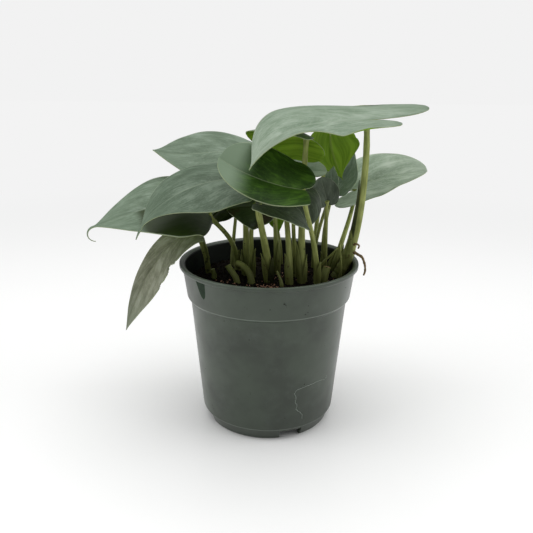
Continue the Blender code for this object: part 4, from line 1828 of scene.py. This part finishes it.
LEAVES = (
    LeafShape("canopy_leaf", (57, -4, 194), (-11, -52, 171), (-40, 2, -2), (-13, -24, -22), 60,
              (-22, -28), 29, facing=180, skew=0.33, curl=(-10, 36), bluntness=1.6,
              tone=Tone.PALE, wave=0.8),
    LeafShape("back_left_leaf", (-16, 34, 168), (-74, 14, 173), (-20, 0, 6), (-20, -8, 8), 58,
              (-25, -35), 10, fold=(8, 8), curl=(20, 20), bluntness=1.2, lean=-0.2),
    LeafShape("front_left_leaf", (-15, -18, 160), (-73, -42, 135), (-26, -4, 4), (-6, -8, -14),
              54, (-20, -26), 7, skew=0.2, fold=(2, 2), curl=(12, 22), bluntness=1.6,
              hook=(6, 5), tone=Tone.DEEP),
    LeafShape("front_cup_leaf", (18, -36, 158), (-28, -41, 176), (-16, -4, 2), (-10, -2, 8), 44,
              (-24, -45), 6, skew=0.6, fold=(17, 17), curl=(29, 9), bluntness=0.4, lean=0.1,
              tone=Tone.CUP, wave=0.2),
    LeafShape("far_left_leaf", (-38, -2, 136), (-106, -20, 131), (-18, -2, 15), (-26, -8, -8),
              63, (-25, -25), 4, curl=(10, 17), bluntness=1.3, lean=-0.15, hook=(13, 165),
              tone=Tone.HALF_SHADOWED),
    LeafShape("hanging_leaf", (-45, 2, 122), (-91, -14, 62), (-18, -4, 4), (-8, -4, -30), 28,
              (-30, -50), 3, fold=(20, 10), curl=(-10, -5), lean=-0.4, tone=Tone.AGEING,
              tears=((0.36, -0.74, 0.14), (0.30, -0.92, 0.5), (0.52, -0.9, 0.3))),
    LeafShape("right_leaf", (58, 38, 145), (104, 30, 159), (16, 0, 8), (14, -4, 3), 41,
              (42, 22), 17, fold=(13, 13), curl=(6, 0), bluntness=0.55, lean=-0.1, tone=Tone.LIT),
    LeafShape("sunlit_leaf", (22, 0, 184), (-15, 9, 184), (-13, 2, 6), (-12, 3, -2), 44,
              (41, 41), 10, skew=0.5, fold=(-19, -19), curl=(45, 5), bluntness=0.7, wave=0.2),
    LeafShape("rolled_leaf", (39, 29, 181), (48, 26, 153), (0, 2, -8), (4, -2, -8), 37,
              lobe=5, facing=90, fold=(0, 0), curl=(65, 10), bluntness=2.0, wave=0.2),
    LeafShape("right_inner_leaf", (44, 34, 149), (56, 34, 171), (4, 0, 8), (4, 0, 7), 24,
              (65, 65), 6),
    LeafShape("middle_leaf", (8, 12, 160), (36, 12, 161), (10, 0, 2), (10, 0, 1), 24,
              (30, 38), fold=(16, 16), curl=(29, -21), bluntness=0.5, tone=Tone.PALE),
    LeafShape("middle_tip_leaf", (39, 7, 151), (40, 7, 165), (0, 0, 5), (1, 0, 5), 9,
              (70, 70), 4, wave=0.2),
    LeafShape("round_leaf", (35, -6, 146), (31, -6, 160), (-1, 0, 5), (-1, 0, 5), 18,
              (-70, -70), 4, curl=(24, 12), bluntness=0.5, tone=Tone.DUSK),
    LeafShape("grey_leaf", (14, -14, 151), (24, -22, 133), (9, -2, -1), (-2, -2, -8), 20,
              (38, 38), 8, facing=-48, fold=(4, 4), curl=(36, 20), tone=Tone.DUSK),
    LeafShape("front_low_leaf", (-7, -37, 150), (23, -44, 136), (12, -2, -1), (8, -3, -7), 21,
              (25, 25), 2, curl=(27, 0), tone=Tone.DUSK),
    LeafShape("blotched_leaf", (-10, -16, 144), (-25, -24, 143), (-6, -2, 0), (-6, -3, -2), 26,
              (-42, -42), 12, curl=(18, 35), bluntness=0.6, lean=-0.3, tone=Tone.BLOTCHED),
    LeafShape("shaded_leaf", (-22, 33, 135), (-44, 28, 121), (-10, -2, 0), (-7, -2, -7), 30,
              (45, 45), fold=(3, 3), bluntness=0.8, tone=Tone.DUSK),
    LeafShape("back_tip_leaf", (3, 18, 141), (6, 16, 119), (0, 0, -7), (1, 0, -7), 15,
              lobe=6, facing=90, tone=Tone.BRIGHT),
)

STEMS = (
    StemShape("hanging_petiole", (-40, 9), 2.2, 1.6, "hanging_leaf", bow=(0, -1),
              spotted=True),
    StemShape("far_left_petiole", (-21, 15), 2.0, 1.4, "far_left_leaf", knee=0.6),
    StemShape("front_left_petiole", (-15, 6), 2.4, 1.6, "front_left_leaf", bow=(0, 8), knee=0.5,
              shoulder=0.95),
    StemShape("blotched_petiole", (-11, 0), 2.0, 1.3, "blotched_leaf", bow=(-1, -3), knee=0.6),
    StemShape("front_low_petiole", (0, -8), 2.9, 1.8, "front_low_leaf", bow=(-1, -6),
              knee=0.45),
    StemShape("back_tip_petiole", (5, 9), 2.2, 1.3, "back_tip_leaf", bow=(0, -1)),
    StemShape("middle_petiole", (13, -13), 2.3, 1.4, "middle_leaf"),
    StemShape("back_left_petiole", (8, 30), 1.6, 1.1, "back_left_leaf", knee=0.5),
    StemShape("sunlit_petiole", (21, -9), 2.8, 1.5, "sunlit_leaf", bow=(-2, 1)),
    StemShape("front_cup_petiole", (30, -12), 2.0, 1.3, "front_cup_leaf", bow=(0, -4)),
    StemShape("round_petiole", (37, 16), 1.8, 1.2, "round_leaf", bow=(0, -2)),
    StemShape("canopy_petiole", (44, 3), 3.6, 1.7, "canopy_leaf", bow=(13, -2), knee=0.14,
              rings=(0.1, 0.2)),
    StemShape("right_petiole", (43, 18), 2.0, 1.3, "right_leaf", bow=(7, 2), knee=0.5),
    StemShape("right_inner_petiole", (38, 30), 1.5, 1.1, "right_inner_leaf", bow=(-3, 3)),
    StemShape("middle_tip_petiole", (30, 22), 1.4, 1.0, "middle_tip_leaf"),
    StemShape("rolled_petiole", (31, 27), 1.8, 1.2, tip=(39, 32, 183), bow=(0, 5)),
    StemShape("grey_petiole", (17, 2), 1.6, 1.1, "grey_leaf", bow=(-1, 1)),
    StemShape("shaded_petiole", (-25, 24), 1.6, 1.1, "shaded_leaf", bow=(0, 3)),
    StemShape("cut_stub_right", (35, -7), 2.6, 2.5, tip=(37, -5, 103), kind=StemKind.STUB),
    StemShape("cut_stub_left", (-20, -12), 2.2, 2.0, tip=(-26, -8, 104), kind=StemKind.STUB),
    StemShape("cut_stub_back", (32, 36), 1.8, 1.6, tip=(32, 36, 104), kind=StemKind.STUB),
    StemShape("elbow_stem", (-11, -12), 2.6, 2.0, tip=(-20, -6, 105), knee=0.8,
              shoulder=0.98, kind=StemKind.SHOOT),
    StemShape("young_bud", (-35, -3), 2.2, 1.4, tip=(-36, -3, 100), kind=StemKind.SHOOT),
    StemShape("young_spear", (30, -1), 1.8, 0.4, tip=(43, -4, 115), kind=StemKind.SHOOT),
    StemShape("side_shoot", (8, -18), 1.6, 0.7, tip=(5, -15, 103), kind=StemKind.SHOOT),
    StemShape("node_sheath", (45, -5), 1.6, 0.3, tip=(44, -7, 120), bow=(1, -2),
              kind=StemKind.SHOOT),
    StemShape("dark_sheath", (38, 9), 1.5, 0.4, tip=(43, 7, 111), kind=StemKind.SHOOT),
    StemShape("aerial_root", (0, 0), 1.0, 0.6, kind=StemKind.ROOT,
              route=((53.6, -2.5, 112), (56, -3.5, 111), (59, -5, 109), (60.5, -6, 105),
                     (61, -6, 101), (60, -7, 98))),
    StemShape("curled_root", (0, 0), 0.8, 0.5, kind=StemKind.ROOT,
              route=((53.5, -3.5, 117), (54.5, -4.5, 118), (56.5, -5, 117), (56, -5, 115))),
)

SHEATHS = (
    SheathShape("front_low_sheath_left", "front_low_petiole", 116.0, 200.0, 80.0, 0.7),
    SheathShape("front_low_sheath_right", "front_low_petiole", 112.0, -20.0, 80.0, 1.2,
                dry=True),
    SheathShape("front_left_sheath", "front_left_petiole", 110.0, 160.0, 100.0, 0.8),
    SheathShape("blotched_sheath", "blotched_petiole", 114.0, 10.0, 100.0, 0.9),
    SheathShape("back_tip_sheath", "back_tip_petiole", 116.0, -20.0, 90.0, 0.6),
    SheathShape("middle_sheath", "middle_petiole", 113.0, 200.0, 90.0, 0.5),
    SheathShape("sunlit_sheath_left", "sunlit_petiole", 120.0, 190.0, 85.0, 0.7),
    SheathShape("sunlit_sheath_right", "sunlit_petiole", 112.0, 0.0, 85.0, 0.8),
    SheathShape("front_cup_sheath", "front_cup_petiole", 110.0, -30.0, 90.0, 0.8),
    SheathShape("round_sheath", "round_petiole", 108.0, 180.0, 95.0, 0.8),
    SheathShape("canopy_sheath_long", "canopy_petiole", 158.0, 190.0, 60.0, 0.6, 0.2, 108.0,
                dry=True),
    SheathShape("canopy_sheath_low", "canopy_petiole", 126.0, 200.0, 100.0, 0.6, 0.4, 96.0),
    SheathShape("hanging_sheath", "hanging_petiole", 121.5, 20.0, 60.0, 0.8, 0.3, 104.0,
                squared=True),
    SheathShape("right_sheath", "right_petiole", 112.0, 60.0, 95.0, 1.0),
    SheathShape("far_left_sheath", "far_left_petiole", 107.0, 30.0, 95.0, 0.9),
    SheathShape("grey_sheath", "grey_petiole", 108.0, 90.0, 95.0, 1.0),
)


class Plant:
    """All the leaves, stems and sheaths."""

    def __init__(self, mix: PottingMix, palette: Palette, origin: Vector) -> None:
        """Prepare every part of the plant.

        Args:
            mix: the mix that it stands in.
            palette: the materials.
            origin: the pot's axis in the frame.
        """
        self.leaves = {shape.name: Leaf(shape, seed, palette, origin)
                       for seed, shape in enumerate(LEAVES, 1)}
        self.stems = {shape.name: Stem(shape, self.leaves, mix, palette, origin)
                      for shape in STEMS}
        self.sheaths = [Sheath(shape, self.stems[shape.stem], palette, origin)
                        for shape in SHEATHS]

    def build(self) -> list[tuple[bpy.types.Object, str]]:
        """Build the plant.

        Returns:
            Every piece with the name of a material slot.
        """
        made = []
        for name, leaf in self.leaves.items():
            slot = "ageing_leaf" if name == "hanging_leaf" else "silver_leaf"
            made.append((leaf.build(), slot))
        for name, stem in self.stems.items():
            slot = {StemKind.ROOT: "aerial_root",
                    StemKind.STUB: "cut_stem"}.get(stem.shape.kind, "green_stem")
            made.append((stem.build(), slot))
        made += [(sheath.build(), "green_stem") for sheath in self.sheaths]
        return made


# ---------------------------------------------------------------------------------------------
# The studio
# ---------------------------------------------------------------------------------------------


@dataclass(frozen=True)
class CameraShape:
    """A camera in front of the pot that looks down on it."""

    place: Point = (0.0, -390.0, 223.0)
    yaw: float = 0.0039
    pitch: float = 0.3029
    roll: float = 0.0086
    lens: float = 42.92


@dataclass(frozen=True)
class LampShape:
    """One soft area light."""

    name: str
    place_m: Point
    size_m: float
    power: float


LAMPS = (
    LampShape("top_softbox", (0.0, 0.1, 1.3), 1.4, 8.0),
    LampShape("left_softbox", (-1.1, -0.25, 0.75), 0.9, 5.0),
    LampShape("right_softbox", (1.1, -0.15, 0.8), 0.9, 4.5),
)


class Studio:
    """The pale floor, the soft lights and the camera."""

    def __init__(self, origin: Vector) -> None:
        """Keep the pot's axis."""
        self.origin = origin

    def build(self) -> None:
        """Set up the floor, the lights, the world and the camera."""
        self._floor()
        self._world()
        for lamp in LAMPS:
            self._lamp(lamp)
        self._camera(CameraShape())
        bpy.context.scene.view_settings.view_transform = "Standard"

    def _floor(self) -> None:
        """A pale glossy floor that fades into the backdrop's colour far from the pot.

        Glossy paper gives the pot a faint mirror image and a soft contact shadow, which a painted
        shadow deepens: the floor's added glow dims where the pot is close.
        """
        half, drop = 4.0, 0.0002
        mesh = bpy.data.meshes.new("floor")
        mesh.from_pydata([(-half, -half, 0.0), (half, -half, 0.0), (half, half, 0.0),
                          (-half, half, 0.0)], [], [(0, 1, 2, 3)])
        floor = bpy.data.objects.new("floor", mesh)
        floor.location.z = -drop
        bpy.context.scene.collection.objects.link(floor)
        material, tree, shader = new_material("seamless_paper")
        place = add_node(tree, "TexCoord", out="Object")
        reach = add_node(tree, "VectorMath", {0: place}, 1, operation="LENGTH")
        fill(shader, {"Base Color": "#f6f6f6", "Roughness": 0.25})
        # Only the eye and mirrors see the floor glow. A painted shadow dims that glow where the
        # pot is close.
        rays = add_node(tree, "LightPath").node.outputs
        mirrored = add_node(tree, "Math", {0: rays["Is Glossy Ray"],
                                           1: rays["Is Transmission Ray"]}, operation="MAXIMUM")
        seen = add_node(tree, "Math", {0: rays["Is Camera Ray"], 1: mirrored},
                        operation="MAXIMUM")
        painted_shadow_ao = add_node(tree, "AmbientOcclusion", {"Distance": 0.12}, "AO", samples=8)
        clear = add_node(tree, "Math", {0: painted_shadow_ao, 1: 1.5}, operation="POWER")
        lifted = add_node(tree, "Math", {0: clear, 1: 0.25}, operation="MULTIPLY")
        strength = add_node(tree, "Math", {0: seen, 1: lifted}, operation="MULTIPLY")
        lift = add_node(tree, "Emission", {"Color": "#ffffff", "Strength": strength})
        paper = add_node(tree, "AddShader", {0: shader.outputs[0], 1: lift})
        glow = add_node(tree, "Emission", {"Color": "#f3f3f3", "Strength": 1.0})
        far = add_node(tree, "MapRange", {0: reach, 1: 0.25, 2: 0.9},
                       interpolation_type="SMOOTHSTEP")
        mixed = add_node(tree, "MixShader", {0: far, 1: paper, 2: glow})
        fill(tree.nodes["Material Output"], {"Surface": mixed})
        mesh.materials.append(material)

    def _world(self) -> None:
        """Plain pale light from everywhere, with an even backdrop for the camera."""
        world = bpy.data.worlds.new("studio")
        bpy.context.scene.world = world
        world.use_nodes = True
        tree = world.node_tree
        seen = add_node(tree, "LightPath", out="Is Camera Ray")
        light = tree.nodes["Background"]
        fill(light, {"Color": "#f6f7f6", "Strength": 0.36})
        drop = add_node(tree, "Background", {"Color": "#f2f2f2", "Strength": 1.0})
        mixed = add_node(tree, "MixShader", {0: seen, 1: light.outputs[0], 2: drop})
        fill(tree.nodes["World Output"], {"Surface": mixed})

    def _lamp(self, shape: LampShape) -> None:
        """Add one square light that faces the plant.

        Args:
            shape: its name, place, size and power.
        """
        light = bpy.data.lights.new(shape.name, "AREA")
        light.energy = shape.power
        light.size = shape.size_m
        lamp = bpy.data.objects.new(shape.name, light)
        lamp.location = shape.place_m
        aim = self.origin + Vector((0.0, 0.0, 0.1)) - lamp.location
        lamp.rotation_euler = aim.to_track_quat("-Z", "Y").to_euler()
        bpy.context.scene.collection.objects.link(lamp)

    def _camera(self, shape: CameraShape) -> None:
        """Put the camera at its place in front of the pot.

        Args:
            shape: its place, its turns in radians and its lens.
        """
        right = Vector((math.cos(shape.yaw), math.sin(shape.yaw), 0.0))
        ahead = Vector((-math.sin(shape.yaw), math.cos(shape.yaw), 0.0))
        ahead = ahead * math.cos(shape.pitch) + Vector((0, 0, -1)) * math.sin(shape.pitch)
        up = right.cross(ahead)
        turned = right * math.cos(shape.roll) + up * math.sin(shape.roll)
        risen = up * math.cos(shape.roll) - right * math.sin(shape.roll)
        data = bpy.data.cameras.new("camera")
        data.lens = shape.lens
        data.sensor_width = 36.0
        data.clip_start = 0.01
        camera = bpy.data.objects.new("camera", data)
        camera.matrix_world = Matrix((
            (turned.x, risen.x, -ahead.x, shape.place[0] * MM + self.origin.x),
            (turned.y, risen.y, -ahead.y, shape.place[1] * MM + self.origin.y),
            (turned.z, risen.z, -ahead.z, shape.place[2] * MM),
            (0.0, 0.0, 0.0, 1.0)))
        bpy.context.scene.collection.objects.link(camera)
        bpy.context.scene.camera = camera


def main() -> None:
    """Build the part piece by piece around its frame."""
    logging.basicConfig(level=logging.INFO, format="%(name)s: %(message)s")
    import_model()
    low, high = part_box("pot")
    origin = Vector((0.5 * (low.x + high.x), 0.5 * (low.y + high.y), low.z))
    pot_shape = PotShape()
    palette = Palette(pot_shape)
    pot = Pot(pot_shape, palette, origin)
    mix = PottingMix(MixShape(), pot_shape, palette, origin)
    pieces = [(piece, "pot_plastic") for piece in pot.build()]
    pieces += [(piece, "potting_mix") for piece in mix.build()]
    pieces += Plant(mix, palette, origin).build()
    for piece, slot in pieces:
        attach(piece, "root")
        LOG.info("%s: %d faces", piece.name, len(piece.data.polygons))
    Studio(origin).build()


if __name__ == "__main__":
    main()
